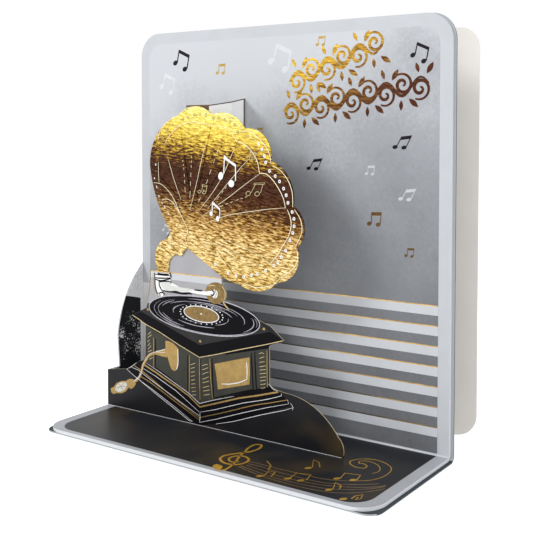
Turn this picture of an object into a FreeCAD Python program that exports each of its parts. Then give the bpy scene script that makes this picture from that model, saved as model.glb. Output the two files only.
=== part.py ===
import FreeCAD, Part
import math
import os

import Sketcher

doc = FreeCAD.newDocument("pop_up_card")

# Driving sizes in millimetres, angles in degrees. The card stands open on its base: X runs along
# the fold, Y to the back and Z up. The origin is the middle of the underside of the base.
SIZES = {
    "wall_width": 150,
    "wall_height": 160,
    "base_depth": 56,
    "card_thickness": 1.2,
    "fold_radius": 0.6,
    "wall_corner": 10,
    "base_corner": 9,
    "ply_thickness": 0.5,
    "ply_overhang": 1.2,
    "ply_corner": 5,
    "layer_distance": 21.3,
    "layer_thickness": 0.4,
    "foot_centre": -16,
    "foot_width": 110,
    "foot_depth": 9,
    "foil_thickness": 0.5,
    "rib_height": 0.25,
    "wing_thickness": 0.5,
    "wing_height": 59,
    "wing_depth": 15.7,
    "wing_belly_height": 29,
    "wing_step_height": 15.3,
    "wing_tab_width": 8,
    "wing_clearance": 0.4,
    "strut_thickness": 0.45,
    "strut_base_height": 108,
    "strut_front_height": 127.6,
    "strut_wall_height": 131,
    "strut_kink": 2.2,
    "strut_left": -30.7,
    "strut_front": -18.9,
    "strut_back": -17.4,
    "leaf_thickness": 0.5,
    "leaf_width": 150,
    "leaf_height": 159.5,
    "leaf_corner": 8,
    "leaf_flap": 14,
    "leaf_angle": 11.2,
}

sheet = doc.addObject("Spreadsheet::Sheet", "Sizes")
for row, (alias, value) in enumerate(SIZES.items(), start=1):
    sheet.set(f"A{row}", alias)
    sheet.set(f"B{row}", str(value))
    sheet.setAlias(f"B{row}", alias)
doc.recompute()


def size(alias):
    return float(sheet.get(alias))


def point(x, y):
    return FreeCAD.Vector(x, y, 0)


def line(start, end):
    return Part.LineSegment(point(*start), point(*end))


def arc(start, middle, end):
    return Part.Arc(point(*start), point(*middle), point(*end))


def polygon(corners):
    return [line(a, b) for a, b in zip(corners, corners[1:] + corners[:1])]


def outline(start, steps):
    """A closed outline: each step is an end point, or a point on the arc and its end point."""
    edges = []
    here = start
    for step in steps:
        if len(step) == 1:
            edges.append(line(here, step[0]))
        else:
            edges.append(arc(here, step[0], step[1]))
        here = step[-1]
    if here != start:
        edges.append(line(here, start))
    return edges


def new_body(label):
    body = doc.addObject("PartDesign::Body", label)
    body.Label = label
    return body


def new_sketch(body, name, plane, edges):
    sketch = body.newObject("Sketcher::SketchObject", name)
    origin_plane = next(f for f in body.Origin.OriginFeatures if f.Role == plane)
    sketch.AttachmentSupport = [(origin_plane, "")]
    sketch.MapMode = "FlatFace"
    sketch.addGeometry(edges, False)
    sketch.Visibility = False
    return sketch


def new_pad(body, name, sketch, length, reverse=False, midplane=False):
    pad = body.newObject("PartDesign::Pad", name)
    pad.Profile = sketch
    pad.setExpression("Length", length)
    pad.Reversed = reverse
    if midplane:
        pad.SideType = "Symmetric"
    doc.recompute()
    return pad


def round_corners(body, name, feature, is_corner, radius):
    """Fillets the short edges of a sheet whose middle point passes the test."""
    edges = feature.Shape.Edges
    chosen = [f"Edge{i}" for i, e in enumerate(edges, start=1) if is_corner(e)]
    fillet = body.newObject("PartDesign::Fillet", name)
    fillet.Base = (feature, chosen)
    fillet.setExpression("Radius", radius)
    doc.recompute()
    return fillet


def cut_through(body, name, sketch):
    pocket = body.newObject("PartDesign::Pocket", name)
    pocket.Profile = sketch
    pocket.Type = "ThroughAll"
    pocket.SideType = "Symmetric"
    doc.recompute()
    return pocket


def folded_profile(depth, height, gap, thickness):
    """Side view of a sheet folded up at the back: its inner faces lie `gap` outside the card's."""
    inner = size("fold_radius") + gap
    outer = inner + thickness
    low = -gap
    middle = math.sin(math.radians(45))
    centre = (-size("fold_radius"), size("fold_radius"))
    inner_mid = (centre[0] + inner * middle, centre[1] - inner * middle)
    outer_mid = (centre[0] + outer * middle, centre[1] - outer * middle)
    return [
        line((-depth, low), (centre[0], low)),
        arc((centre[0], low), inner_mid, (gap, centre[1])),
        line((gap, centre[1]), (gap, height)),
        line((gap, height), (gap + thickness, height)),
        line((gap + thickness, height), (gap + thickness, centre[1])),
        arc((gap + thickness, centre[1]), outer_mid, (centre[0], low - thickness)),
        line((centre[0], low - thickness), (-depth, low - thickness)),
        line((-depth, low - thickness), (-depth, low)),
    ]


def across_y(edge, height):
    """True for a straight edge that runs through the wall at this height."""
    first, last = (vertex.Point for vertex in edge.Vertexes)
    level = abs(first.z - last.z) < 0.01 and abs(first.z - height) < 0.01
    return level and abs(first.x - last.x) < 0.01


def across_z(edge, depth):
    """True for a straight edge that runs through the base at its front."""
    first, last = (vertex.Point for vertex in edge.Vertexes)
    at_front = abs(first.y - last.y) < 0.01 and abs(first.y + depth) < 0.01
    return at_front and abs(first.x - last.x) < 0.01


def set_place(body, along_x, along_y, along_z):
    body.setExpression(".Placement.Base.x", along_x)
    body.setExpression(".Placement.Base.y", along_y)
    body.setExpression(".Placement.Base.z", along_z)


FOLD_Y = "Sizes.base_depth / 2"
FLOOR_Z = "Sizes.card_thickness + Sizes.ply_thickness"


# Printed card: one stiff sheet with its wall, its base and the side wing that the wall's left
# edge carries. The wing is folded forward and its end tab is glued to the back of the scene.
def build_printed_card():
    body = new_body("printed_card")
    set_place(body, "0", FOLD_Y, FLOOR_Z)
    profile = folded_profile(size("base_depth"), size("wall_height"), 0, size("card_thickness"))
    side_view = new_sketch(body, "card_side_view", "YZ_Plane", profile)
    sheet_pad = new_pad(body, "card_sheet", side_view, "Sizes.wall_width", midplane=True)
    wall_fillet = round_corners(
        body, "wall_corners", sheet_pad, lambda e: across_y(e, size("wall_height")), "Sizes.wall_corner"
    )
    round_corners(
        body, "base_corners", wall_fillet, lambda e: across_z(e, size("base_depth")), "Sizes.base_corner"
    )

    back_of_scene = -size("layer_distance") + size("layer_thickness")
    clear = size("wing_clearance")
    inside_wall = size("card_thickness") / 2
    top = size("wing_height")
    depth = size("wing_depth")
    belly = size("wing_belly_height")
    step_height = size("wing_step_height")
    wing = outline(
        (inside_wall, clear),
        [
            [(inside_wall, top)],
            [(0.0, top)],
            [(-depth * 2 / 3, (top + belly) / 2 + clear * 5), (-depth, belly)],
            [(-depth * 0.94, step_height)],
            [(back_of_scene, step_height)],
            [(back_of_scene, clear)],
        ],
    )
    wing_view = new_sketch(body, "wing_outline", "YZ_Plane", wing)
    wing_view.setExpression(".AttachmentOffset.Base.z", "-Sizes.wall_width / 2")
    new_pad(body, "wing", wing_view, "Sizes.wing_thickness")

    left = -size("wall_width") / 2
    tab = polygon(
        [
            (left, clear),
            (left + size("wing_tab_width"), clear),
            (left + size("wing_tab_width"), step_height - clear),
            (left, step_height),
        ]
    )
    tab_view = new_sketch(body, "wing_tab_outline", "XZ_Plane", tab)
    tab_view.setExpression(".AttachmentOffset.Base.z", "Sizes.layer_distance - Sizes.layer_thickness")
    new_pad(body, "wing_tab", tab_view, "Sizes.wing_thickness", reverse=True)
    return body


# Backing ply: the dark board glued to the back of the wall and under the base. It stands out a
# little past the card's right edge.
def build_backing_ply():
    body = new_body("backing_ply")
    set_place(body, "Sizes.ply_overhang / 2", FOLD_Y, FLOOR_Z)
    profile = folded_profile(
        size("base_depth"), size("wall_height"), size("card_thickness"), size("ply_thickness")
    )
    side_view = new_sketch(body, "ply_side_view", "YZ_Plane", profile)
    ply_pad = new_pad(body, "ply_sheet", side_view, "Sizes.wall_width + Sizes.ply_overhang", midplane=True)
    wall_fillet = round_corners(
        body, "ply_wall_corners", ply_pad, lambda e: across_y(e, size("wall_height")), "Sizes.wall_corner"
    )
    round_corners(
        body, "ply_base_corners", wall_fillet, lambda e: across_z(e, size("base_depth")), "Sizes.ply_corner"
    )
    return body


# Back leaf: the card's cream rear cover, hinged at the wall's left edge by a flap glued to the
# backing ply, and standing open behind it.
def build_back_leaf():
    body = new_body("back_leaf")
    set_place(
        body, "-Sizes.wall_width / 2", FOLD_Y + " + Sizes.card_thickness + Sizes.ply_thickness", "0"
    )
    angle = math.radians(size("leaf_angle"))
    thickness = size("leaf_thickness")
    along = (math.cos(angle), math.sin(angle))
    through = (-math.sin(angle), math.cos(angle))
    crease = 3 * thickness
    inner = (crease, thickness)
    end = (along[0] * size("leaf_width"), thickness + along[1] * size("leaf_width"))
    far_end = (end[0] + through[0] * thickness, end[1] + through[1] * thickness)
    reach = crease + thickness
    back = (
        inner[0] - along[0] * reach + through[0] * thickness,
        inner[1] - along[1] * reach + through[1] * thickness,
    )
    plan = polygon(
        [(0, 0), (size("leaf_flap"), 0), (size("leaf_flap"), thickness), inner, end, far_end, back]
    )
    plan_view = new_sketch(body, "leaf_plan", "XY_Plane", plan)
    leaf_pad = new_pad(body, "leaf_sheet", plan_view, "Sizes.leaf_height")

    def is_outer_corner(edge):
        first, last = (vertex.Point for vertex in edge.Vertexes)
        on_edge = first.x > 0.9 * size("leaf_width") and last.x > 0.9 * size("leaf_width")
        return on_edge and abs(first.z - last.z) < 0.01 and edge.Length < 2 * thickness

    round_corners(body, "leaf_corners", leaf_pad, is_outer_corner, "Sizes.leaf_corner")

    radius = size("wall_corner") + 1
    top = size("leaf_height")
    inset = radius * (1 - math.cos(math.radians(45)))
    corner = outline(
        (-2 * thickness - 1, top + 1),
        [
            [(-2 * thickness - 1, top - radius)],
            [(0.0, top - radius)],
            [(inset, top - inset), (radius, top)],
            [(radius, top + 1)],
        ],
    )
    corner_view = new_sketch(body, "hinge_corner_outline", "XZ_Plane", corner)
    cut_through(body, "hinge_corner", corner_view)
    return body


# Scene layer: one die-cut sheet with the gramophone's cabinet, record and tone arm standing on a
# black stage, and the backing of the horn. Its foot is folded back and glued to the base.
CABINET_LEFT = [
    (-63.2, 17.1),
    (-56.7, 21.4),
    (-52.8, 22.3),
    (-52.6, 37.4),
    (-60.8, 40.3),
    (-52.3, 44.2),
    (-51.2, 47.0),
    (-50.6, 52.0),
    (-50.0, 60.2),
    (-45.3, 60.0),
]
HORN_BACKING = [
    (-45.0, 66.0),
    (-42.2, 72.4),
    (-38.4, 77.4),
    (-45.6, 96.0),
    (-46.4, 110.0),
    (-38.0, 120.0),
    (-26.0, 125.5),
    (-12.0, 121.0),
    (-2.0, 116.0),
    (8.0, 108.0),
    (17.0, 97.0),
    (20.0, 85.0),
    (21.0, 74.0),
    (14.0, 63.0),
    (2.0, 59.5),
    (-12.1, 61.8),
    (-12.1, 57.4),
]
CABINET_RIGHT = [
    (-8.1, 48.2),
    (6.2, 45.4),
    (11.1, 43.9),
    (17.4, 39.2),
    (10.6, 36.6),
    (10.8, 21.3),
    (13.4, 20.2),
    (18.0, 19.6),
]


def build_scene_layer():
    body = new_body("scene_layer")
    set_place(body, "0", FOLD_Y + " - Sizes.layer_distance", FLOOR_Z)
    left = -size("wall_width") / 2
    steps = [[(left, size("wing_step_height"))]]
    steps += [[corner] for corner in CABINET_LEFT + HORN_BACKING]
    steps.append([(-10.2, 54.6), (-11.2, 50.9)])
    steps += [[corner] for corner in CABINET_RIGHT]
    steps.append([(32.2, 15.7), (41.3, 7.2)])
    steps.append([(43.6, 3.2), (43.2, 0.0)])
    front = new_sketch(body, "scene_outline", "XZ_Plane", outline((left, 0.0), steps))
    new_pad(body, "scene_sheet", front, "Sizes.layer_thickness", reverse=True)

    centre = size("foot_centre")
    half = size("foot_width") / 2
    foot = polygon(
        [
            (centre - half, 0),
            (centre + half, 0),
            (centre + half - size("foot_depth") / 2, size("foot_depth")),
            (centre - half + size("foot_depth") / 2, size("foot_depth")),
        ]
    )
    foot_view = new_sketch(body, "foot_outline", "XY_Plane", foot)
    new_pad(body, "foot", foot_view, "Sizes.layer_thickness")
    return body


# Horn: scalloped gold foil board with the ringed elbow below it, glued to the front of the scene
# layer. Raised ribs run from the throat to the notches between the scallops.
HORN_LOBES = [
    [(-46.4, 91.0), (-49.5, 103.4)],
    [(-45.9, 115.6), (-34.2, 123.7)],
    [(-24.9, 127.2), (-16.4, 123.7)],
    [(-7.6, 123.8), (-0.6, 118.3)],
    [(8.3, 115.7), (11.8, 106.2)],
    [(20.4, 98.9), (21.8, 89.8)],
    [(26.7, 81.9), (23.7, 74.4)],
    [(22.7, 65.4), (15.0, 60.9)],
    [(5.8, 56.7), (-3.2, 58.6)],
    [(-11.2, 60.6), (-16.8, 63.6)],
]
HORN_ELBOW = [
    [(-29.7, 70.8)],
    [(-32.6, 67.1)],
    [(-37.2, 66.8), (-39.1, 64.4)],
    [(-39.8, 60.2)],
    [(-45.1, 60.0)],
    [(-46.6, 67.3), (-43.1, 72.9)],
    [(-40.2, 74.0), (-38.4, 76.8)],
]
THROAT = (-26.4, 84.0)
RIB_START = 0.16
RIB_END = 0.9
RIB_HALF_WIDTH = 0.3


def build_horn():
    body = new_body("horn")
    set_place(body, "0", FOLD_Y + " - Sizes.layer_distance", FLOOR_Z)
    front = new_sketch(body, "horn_outline", "XZ_Plane", outline(HORN_ELBOW[-1][-1], HORN_LOBES + HORN_ELBOW))
    new_pad(body, "horn_board", front, "Sizes.foil_thickness")
    ribs = []
    for lobe in HORN_LOBES[:-1]:
        notch = lobe[-1]
        reach = (notch[0] - THROAT[0], notch[1] - THROAT[1])
        length = math.hypot(*reach)
        side = (-reach[1] / length * RIB_HALF_WIDTH, reach[0] / length * RIB_HALF_WIDTH)
        first = (THROAT[0] + reach[0] * RIB_START, THROAT[1] + reach[1] * RIB_START)
        last = (THROAT[0] + reach[0] * RIB_END, THROAT[1] + reach[1] * RIB_END)
        ribs += polygon(
            [
                (first[0] - side[0] / 2, first[1] - side[1] / 2),
                (last[0] - side[0], last[1] - side[1]),
                (last[0] + side[0], last[1] + side[1]),
                (first[0] + side[0] / 2, first[1] + side[1] / 2),
            ]
        )
    rib_view = new_sketch(body, "rib_outlines", "XZ_Plane", ribs)
    new_pad(body, "ribs", rib_view, "Sizes.foil_thickness + Sizes.rib_height")
    return body


# Horn strut: a folded strip of white card that holds the horn away from the wall, with one tab
# glued behind the horn and one glued to the wall.
def build_horn_strut():
    body = new_body("horn_strut")
    set_place(body, "0", FOLD_Y + " - Sizes.layer_distance + Sizes.layer_thickness", FLOOR_Z)
    gap = size("layer_distance") - size("layer_thickness")
    strip = size("strut_thickness")
    tab_left = size("strut_left")
    front_x = size("strut_front")
    wall_x = size("strut_back")
    kink_x = (front_x + wall_x) / 2 + size("strut_kink")
    plan = polygon(
        [
            (tab_left, 0),
            (front_x, 0),
            (kink_x, gap / 2),
            (wall_x, gap),
            (tab_left, gap),
            (tab_left, gap - strip),
            (wall_x - strip, gap - strip),
            (kink_x - strip, gap / 2),
            (front_x - strip, strip),
            (tab_left, strip),
        ]
    )
    plan_view = new_sketch(body, "strut_plan", "XY_Plane", plan)
    plan_view.setExpression(".AttachmentOffset.Base.z", "Sizes.strut_base_height")
    new_pad(body, "strut_strip", plan_view, "Sizes.strut_wall_height - Sizes.strut_base_height + Sizes.strut_thickness")
    top = size("strut_wall_height") + gap
    cut = polygon(
        [
            (-strip, size("strut_front_height")),
            (gap + strip, size("strut_wall_height")),
            (gap + strip, top),
            (-strip, top),
        ]
    )
    cut_view = new_sketch(body, "strut_top_slope", "YZ_Plane", cut)
    cut_through(body, "strut_top", cut_view)
    tab_end = polygon(
        [
            (wall_x - strip, size("strut_wall_height")),
            (wall_x - strip, top),
            (tab_left - 1, top),
            (tab_left - 1, size("strut_front_height")),
        ]
    )
    tab_view = new_sketch(body, "strut_tab_slope", "XZ_Plane", tab_end)
    cut_through(body, "strut_tab", tab_view)
    return body


bodies = [
    build_printed_card(),
    build_backing_ply(),
    build_back_leaf(),
    build_scene_layer(),
    build_horn(),
    build_horn_strut(),
]
doc.recompute()

for item in doc.Objects:
    if "Invalid" in item.State or "Error" in item.State:
        raise RuntimeError(f"{item.Label} did not recompute: {item.State}")

os.makedirs("parts", exist_ok=True)
for body in bodies:
    shape = body.Shape
    if shape.isNull() or not shape.isValid() or len(shape.Solids) != 1:
        raise RuntimeError(f"{body.Label} is not one valid solid")
    shape.exportStep(f"parts/{body.Label}.step")
    box = shape.BoundBox
    print(body.Label, round(box.XLength, 1), round(box.YLength, 1), round(box.ZLength, 1))
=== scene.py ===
import math

import bmesh
import bpy
import numpy as np
from mathutils import Matrix, Vector


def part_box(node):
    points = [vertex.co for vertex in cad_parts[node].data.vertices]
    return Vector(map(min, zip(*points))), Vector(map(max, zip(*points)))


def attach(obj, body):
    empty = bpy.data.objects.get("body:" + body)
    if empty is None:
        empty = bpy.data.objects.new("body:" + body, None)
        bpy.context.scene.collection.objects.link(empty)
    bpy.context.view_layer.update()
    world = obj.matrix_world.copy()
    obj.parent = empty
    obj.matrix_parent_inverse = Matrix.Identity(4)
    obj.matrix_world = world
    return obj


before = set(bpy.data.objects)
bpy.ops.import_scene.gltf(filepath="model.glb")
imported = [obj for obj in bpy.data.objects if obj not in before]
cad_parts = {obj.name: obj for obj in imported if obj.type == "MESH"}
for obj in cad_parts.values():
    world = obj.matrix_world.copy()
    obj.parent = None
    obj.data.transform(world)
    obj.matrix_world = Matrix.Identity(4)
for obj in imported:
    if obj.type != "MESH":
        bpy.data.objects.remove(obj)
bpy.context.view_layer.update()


# Printed card: one stiff coated sheet folded into wall and base, with a side wing at the left. It is
# white pulp board, which shows along every cut edge, printed in satin ink inside a pale border.
# Print places are in millimetres: X from the card's middle, Z above its floor, Y from the fold.
MM = 0.001
wall_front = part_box("horn_strut")[1][1]
floor_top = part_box("scene_layer")[0][2]
card_lo, card_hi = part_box("printed_card")
half_width = card_hi[0] / MM
wall_height = (card_hi[2] - floor_top) / MM
base_depth = (wall_front - card_lo[1]) / MM
BORDER = 4.7
FRONT_BORDER = 2.2
INK = 0.03
FIBRE_MM = 0.4
SHEEN_PATCH_MM = 26.32


def linear(hex_colour):
    """An sRGB hex colour as linear RGBA."""
    parts = np.array([int(hex_colour[i : i + 2], 16) / 255 for i in (1, 3, 5)])
    low = parts / 12.92
    high = ((parts + 0.055) / 1.055) ** 2.4
    return (*np.where(parts <= 0.04045, low, high).tolist(), 1.0)


def add_node(tree, kind, inputs=None, stops=(), **settings):
    """One shader node: an input given as a socket is linked, and as a value is set. Stops are a
    ramp's colours, each a place and an sRGB hex colour."""
    made = tree.nodes.new(kind)
    for key, value in settings.items():
        setattr(made, key, value)
    for key, value in (inputs or {}).items():
        if isinstance(value, bpy.types.NodeSocket):
            tree.links.new(value, made.inputs[key])
        else:
            made.inputs[key].default_value = value
    for _ in stops[2:]:
        made.color_ramp.elements.new(0.5)
    for number, (place, colour) in enumerate(stops):
        made.color_ramp.elements[number].position = place
        made.color_ramp.elements[number].color = linear(colour)
    return made


def new_finish(name):
    """A new material with its node tree, its shader and the object's own coordinates."""
    material = bpy.data.materials.new(name)
    material.use_nodes = True
    tree = material.node_tree
    place = add_node(tree, "ShaderNodeTexCoord").outputs["Object"]
    return material, tree, tree.nodes["Principled BSDF"], place


def raise_fibres(tree, shader, place, bump):
    """Board fibres, drawn a little coarser than real so that they show, raise the surface."""
    fibre = add_node(
        tree, "ShaderNodeTexNoise", {"Vector": place, "Scale": 1 / (FIBRE_MM * MM), "Detail": 3.0}
    )
    relief = add_node(
        tree,
        "ShaderNodeBump",
        {"Height": fibre.outputs["Fac"], "Strength": bump * 10, "Distance": 0.05 * MM},
    )
    tree.links.new(relief.outputs["Normal"], shader.inputs["Normal"])


def finish_material(
    name,
    colour,
    roughness,
    metallic=0.0,
    mottle=0.08,
    grain_mm=6.0,
    bump=0.02,
    gloss=0.4,
    painted_sheen_colour=None,
):
    """Ink, foil or board: a colour made lighter and darker by a soft noise of a real grain, on
    raised fibres. A painted sheen colour shows through in large soft patches, as a painted reflection."""
    material, tree, shader, place = new_finish(name)
    grain = add_node(
        tree, "ShaderNodeTexNoise", {"Vector": place, "Scale": 1 / (grain_mm * MM), "Detail": 5.0}
    )
    base = np.array(linear(colour)[:3])
    dark, light = (np.clip(base * (1 + side * 2 * mottle), 0, 1).tolist() + [1.0] for side in (-1, 1))
    mix = add_node(
        tree, "ShaderNodeMix", {"Factor": grain.outputs["Fac"], "A": dark, "B": light}, data_type="RGBA"
    )
    # Painted sheen: a brighter colour in large soft patches stands in for a glossy reflection.
    if painted_sheen_colour:
        sheen_patches = add_node(
            tree, "ShaderNodeTexNoise", {"Vector": place, "Scale": 1 / (SHEEN_PATCH_MM * MM), "Detail": 2.0}
        )
        sheen_amount = add_node(
            tree,
            "ShaderNodeMapRange",
            {"Value": sheen_patches.outputs["Fac"], "From Min": 0.5, "From Max": 0.72, "To Max": 0.8},
        )
        mix = add_node(
            tree,
            "ShaderNodeMix",
            {"Factor": sheen_amount.outputs[0], "A": mix.outputs["Result"], "B": linear(painted_sheen_colour)},
            data_type="RGBA",
        )
    tree.links.new(mix.outputs["Result"], shader.inputs["Base Color"])
    shader.inputs["Specular IOR Level"].default_value = gloss
    shader.inputs["Metallic"].default_value = metallic
    shader.inputs["Roughness"].default_value = roughness
    raise_fibres(tree, shader, place, bump)
    return material


def along_axis(tree, axis):
    """The object's own coordinate along an axis, in metres."""
    place = add_node(tree, "ShaderNodeTexCoord").outputs["Object"]
    return add_node(tree, "ShaderNodeSeparateXYZ", {"Vector": place}).outputs[axis]


def facing(tree, axis, both=True):
    """One where the surface looks along an axis: both ways, or only towards its negative end."""
    geometry = add_node(tree, "ShaderNodeNewGeometry")
    normal = add_node(tree, "ShaderNodeSeparateXYZ", {"Vector": geometry.outputs["True Normal"]})
    turned = add_node(
        tree,
        "ShaderNodeMath",
        {0: normal.outputs[axis], 1: -1.0},
        operation="ABSOLUTE" if both else "MULTIPLY",
    )
    return add_node(
        tree, "ShaderNodeMath", {0: turned.outputs[0], 1: 0.5}, operation="GREATER_THAN"
    ).outputs[0]


def show_core(material, mask, colour):
    """Lays a second colour over a finish where the mask is one: a cut edge or an unprinted side."""
    tree = material.node_tree
    base_colour = tree.nodes["Principled BSDF"].inputs["Base Color"]
    mix = add_node(
        tree,
        "ShaderNodeMix",
        {"Factor": mask, "A": base_colour.links[0].from_socket, "B": linear(colour)},
        data_type="RGBA",
    )
    tree.links.new(mix.outputs["Result"], base_colour)


def dress(node, material):
    """Gives a CAD node its finish."""
    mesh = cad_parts[node].data
    mesh.materials.clear()
    mesh.materials.append(material)


# Coated board under satin ink: a wide soft sheen with no clear reflection, and matt white pulp
# along its cut edges and below the printed face.
satin_border = finish_material("coated_board_pale_border", "#bdc0c5", 0.5, mottle=0.03, grain_mm=9)
tree = satin_border.node_tree
below = add_node(
    tree, "ShaderNodeMath", {0: along_axis(tree, "Z"), 1: floor_top - INK * MM}, operation="LESS_THAN"
)
cut_or_below = add_node(
    tree, "ShaderNodeMath", {0: facing(tree, "X"), 1: below.outputs[0]}, operation="MAXIMUM"
)
show_core(satin_border, cut_or_below.outputs[0], "#d3d6da")
dress("printed_card", satin_border)


def round_box(x0, x1, y0, y1, low_r, high_r):
    """A box with rounded corners, each a quarter circle: one radius below and one above."""
    corners = [
        (x1 - low_r, y0 + low_r, low_r, -90),
        (x1 - high_r, y1 - high_r, high_r, 0),
        (x0 + high_r, y1 - high_r, high_r, 90),
        (x0 + low_r, y0 + low_r, low_r, 180),
    ]
    turns = np.radians(np.linspace(0, 90, 9))
    arcs = [
        np.stack([x + r * np.cos(turns + math.radians(a)), y + r * np.sin(turns + math.radians(a))], 1)
        for x, y, r, a in corners
    ]
    return np.vstack(arcs)


def area(points):
    """A filled outline through the points."""
    return np.array(points, float)


def slab(shape, thickness, start):
    """Corners and faces of a thin closed slab over a filled outline, or over a drawn line given as
    its two sides: the shape's points at the top and again a thickness below."""
    if isinstance(shape, tuple):
        left, right, closed = shape
        n = len(left)
        rings = np.stack([left, right, right, left], 1)
        depth = np.tile([thickness, thickness, 0, 0], (n, 1))
        corners = np.dstack([rings, depth]).reshape(-1, 3)
        i = np.arange(n if closed else n - 1)
        j = (i + 1) % n
        sides = [
            np.stack([4 * i + k, 4 * i + m, 4 * j + m, 4 * j + k], 1)
            for k, m in ((0, 1), (1, 2), (2, 3), (3, 0))
        ]
        ends = [] if closed else [[[3, 2, 1, 0], [4 * n - 4, 4 * n - 3, 4 * n - 2, 4 * n - 1]]]
        return corners, (np.vstack(sides + ends) + start).tolist()
    n = len(shape)
    top = np.column_stack([shape, np.full(n, thickness)])
    low = np.column_stack([shape, np.zeros(n)])
    i = np.arange(n)
    j = (i + 1) % n
    caps = (np.stack([i, i[::-1] + n]) + start).tolist()
    return np.vstack([top, low]), caps + (np.stack([i, i + n, j + n, j], 1) + start).tolist()


def on_wall(p):
    """Wall print: X along the card, Z above its floor, out to the front."""
    return np.stack([p[:, 0] * MM, wall_front - p[:, 2] * MM, floor_top + p[:, 1] * MM], 1)


def on_base(p):
    """Base print: X along the card, Y measured forwards of the fold as a negative number."""
    return np.stack([p[:, 0] * MM, wall_front + p[:, 1] * MM, floor_top + p[:, 2] * MM], 1)


def printed(name, shapes, place, material, layer=0, thickness=INK):
    """One ink or foil print: its thin slabs joined in one mesh, on the layers already printed. Each
    slab lies a tenth of the ink higher than the last, up to seven, so none share a face."""
    corners, faces, start = [], [], 0
    for number, shape in enumerate(shapes):
        slab_corners, slab_faces = slab(shape, thickness, start)
        slab_corners[:, 2] += layer * INK + number % 7 * INK / 10
        corners.append(slab_corners)
        faces += slab_faces
        start += len(slab_corners)
    mesh = bpy.data.meshes.new(name)
    mesh.from_pydata(place(np.vstack(corners)).tolist(), [], faces)
    work = bmesh.new()
    work.from_mesh(mesh)
    bmesh.ops.triangulate(work, faces=work.faces)
    bmesh.ops.recalc_face_normals(work, faces=work.faces)
    work.to_mesh(mesh)
    work.free()
    piece = bpy.data.objects.new(name, mesh)
    bpy.context.scene.collection.objects.link(piece)
    mesh.materials.append(material)
    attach(piece, "root")


def wall_ink_with_painted_shade():
    """Grey ink, part printed wash and part painted shade: pale at the upper left and darker down and
    to the right, with clouds 33 mm across, and grain 1.25 mm across that gives it a dry, papery look."""
    cloud_mm, cloud_share = 33.33, 0.42
    grain_mm, grain_share = 1.25, 0.22
    material, tree, shader, place = new_finish("satin_ink_grey_with_painted_shade")
    cloud = add_node(
        tree,
        "ShaderNodeTexNoise",
        {"Vector": place, "Scale": 1 / (cloud_mm * MM), "Detail": 6.0, "Roughness": 0.6},
    )
    grain = add_node(
        tree,
        "ShaderNodeTexNoise",
        {"Vector": place, "Scale": 1 / (grain_mm * MM), "Detail": 3.0, "Roughness": 0.7},
    )
    rise = add_node(
        tree,
        "ShaderNodeMapRange",
        {"Value": along_axis(tree, "Z"), "From Min": 0.03, "From Max": 0.16, "To Max": 0.75},
    )
    across = add_node(
        tree,
        "ShaderNodeMapRange",
        {"Value": along_axis(tree, "X"), "From Min": 0.06, "From Max": -0.075, "To Max": 0.28},
    )
    # Painted shade: the wash darkens the grey low down and to the right, away from the lamp at the
    # upper left.
    print_and_painted_shade = add_node(
        tree, "ShaderNodeMath", {0: rise.outputs[0], 1: across.outputs[0]}, operation="ADD"
    )
    clouded = add_node(
        tree,
        "ShaderNodeMath",
        {0: cloud.outputs["Fac"], 1: cloud_share, 2: print_and_painted_shade.outputs[0]},
        operation="MULTIPLY_ADD",
    )
    grainy = add_node(
        tree,
        "ShaderNodeMath",
        {0: grain.outputs["Fac"], 1: grain_share, 2: clouded.outputs[0]},
        operation="MULTIPLY_ADD",
    )
    centred = add_node(
        tree, "ShaderNodeMath", {0: grainy.outputs[0], 1: grain_share / 2}, operation="SUBTRACT"
    )
    tone = add_node(
        tree,
        "ShaderNodeValToRGB",
        {"Fac": centred.outputs[0]},
        stops=[(0.1, "#5e6064"), (0.45, "#7d8085"), (0.75, "#9b9ea3"), (1.0, "#c4c7cc")],
    )
    tree.links.new(tone.outputs["Color"], shader.inputs["Base Color"])
    shader.inputs["Specular IOR Level"].default_value = 0.4
    shader.inputs["Roughness"].default_value = 0.55
    raise_fibres(tree, shader, place, 0.02)
    return material


field_left, field_right = -half_width + BORDER, half_width - BORDER
wall_field = round_box(field_left, field_right, 0.7, wall_height - BORDER, 0.2, 6.5)
printed("wall_grey_field", [area(wall_field)], on_wall, wall_ink_with_painted_shade())

# Stripes: seven bands of pale satin ink across the lower wall, flat and even. A fine foil line is
# stamped along the top of each, and it glints.
STRIPE_TOP = 54.2
STRIPE_PITCH = 7.37
STRIPE_COUNT = 7
PALE_WIDTH = 3.3
GOLD_WIDTH = 0.38
stripe_tops = [STRIPE_TOP - i * STRIPE_PITCH for i in range(STRIPE_COUNT)]


def stripe(low, high):
    """A band right across the field."""
    return area([(field_left, low), (field_right, low), (field_right, high), (field_left, high)])


pale_ink = finish_material("satin_ink_pale_stripe", "#c5c8cd", 0.55, mottle=0.04, grain_mm=10)
line_gold = finish_material(
    "stamped_foil_print_gold", "#c2a05c", 0.32, metallic=1.0, mottle=0.3, grain_mm=3, bump=0.05
)
pale_stripes = [stripe(z - PALE_WIDTH, z) for z in stripe_tops]
gold_lines = [stripe(z, z + GOLD_WIDTH) for z in stripe_tops]
printed("wall_pale_stripes", pale_stripes, on_wall, pale_ink, layer=1)
printed("wall_gold_lines", gold_lines, on_wall, line_gold, layer=1, thickness=2 * INK)

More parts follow.
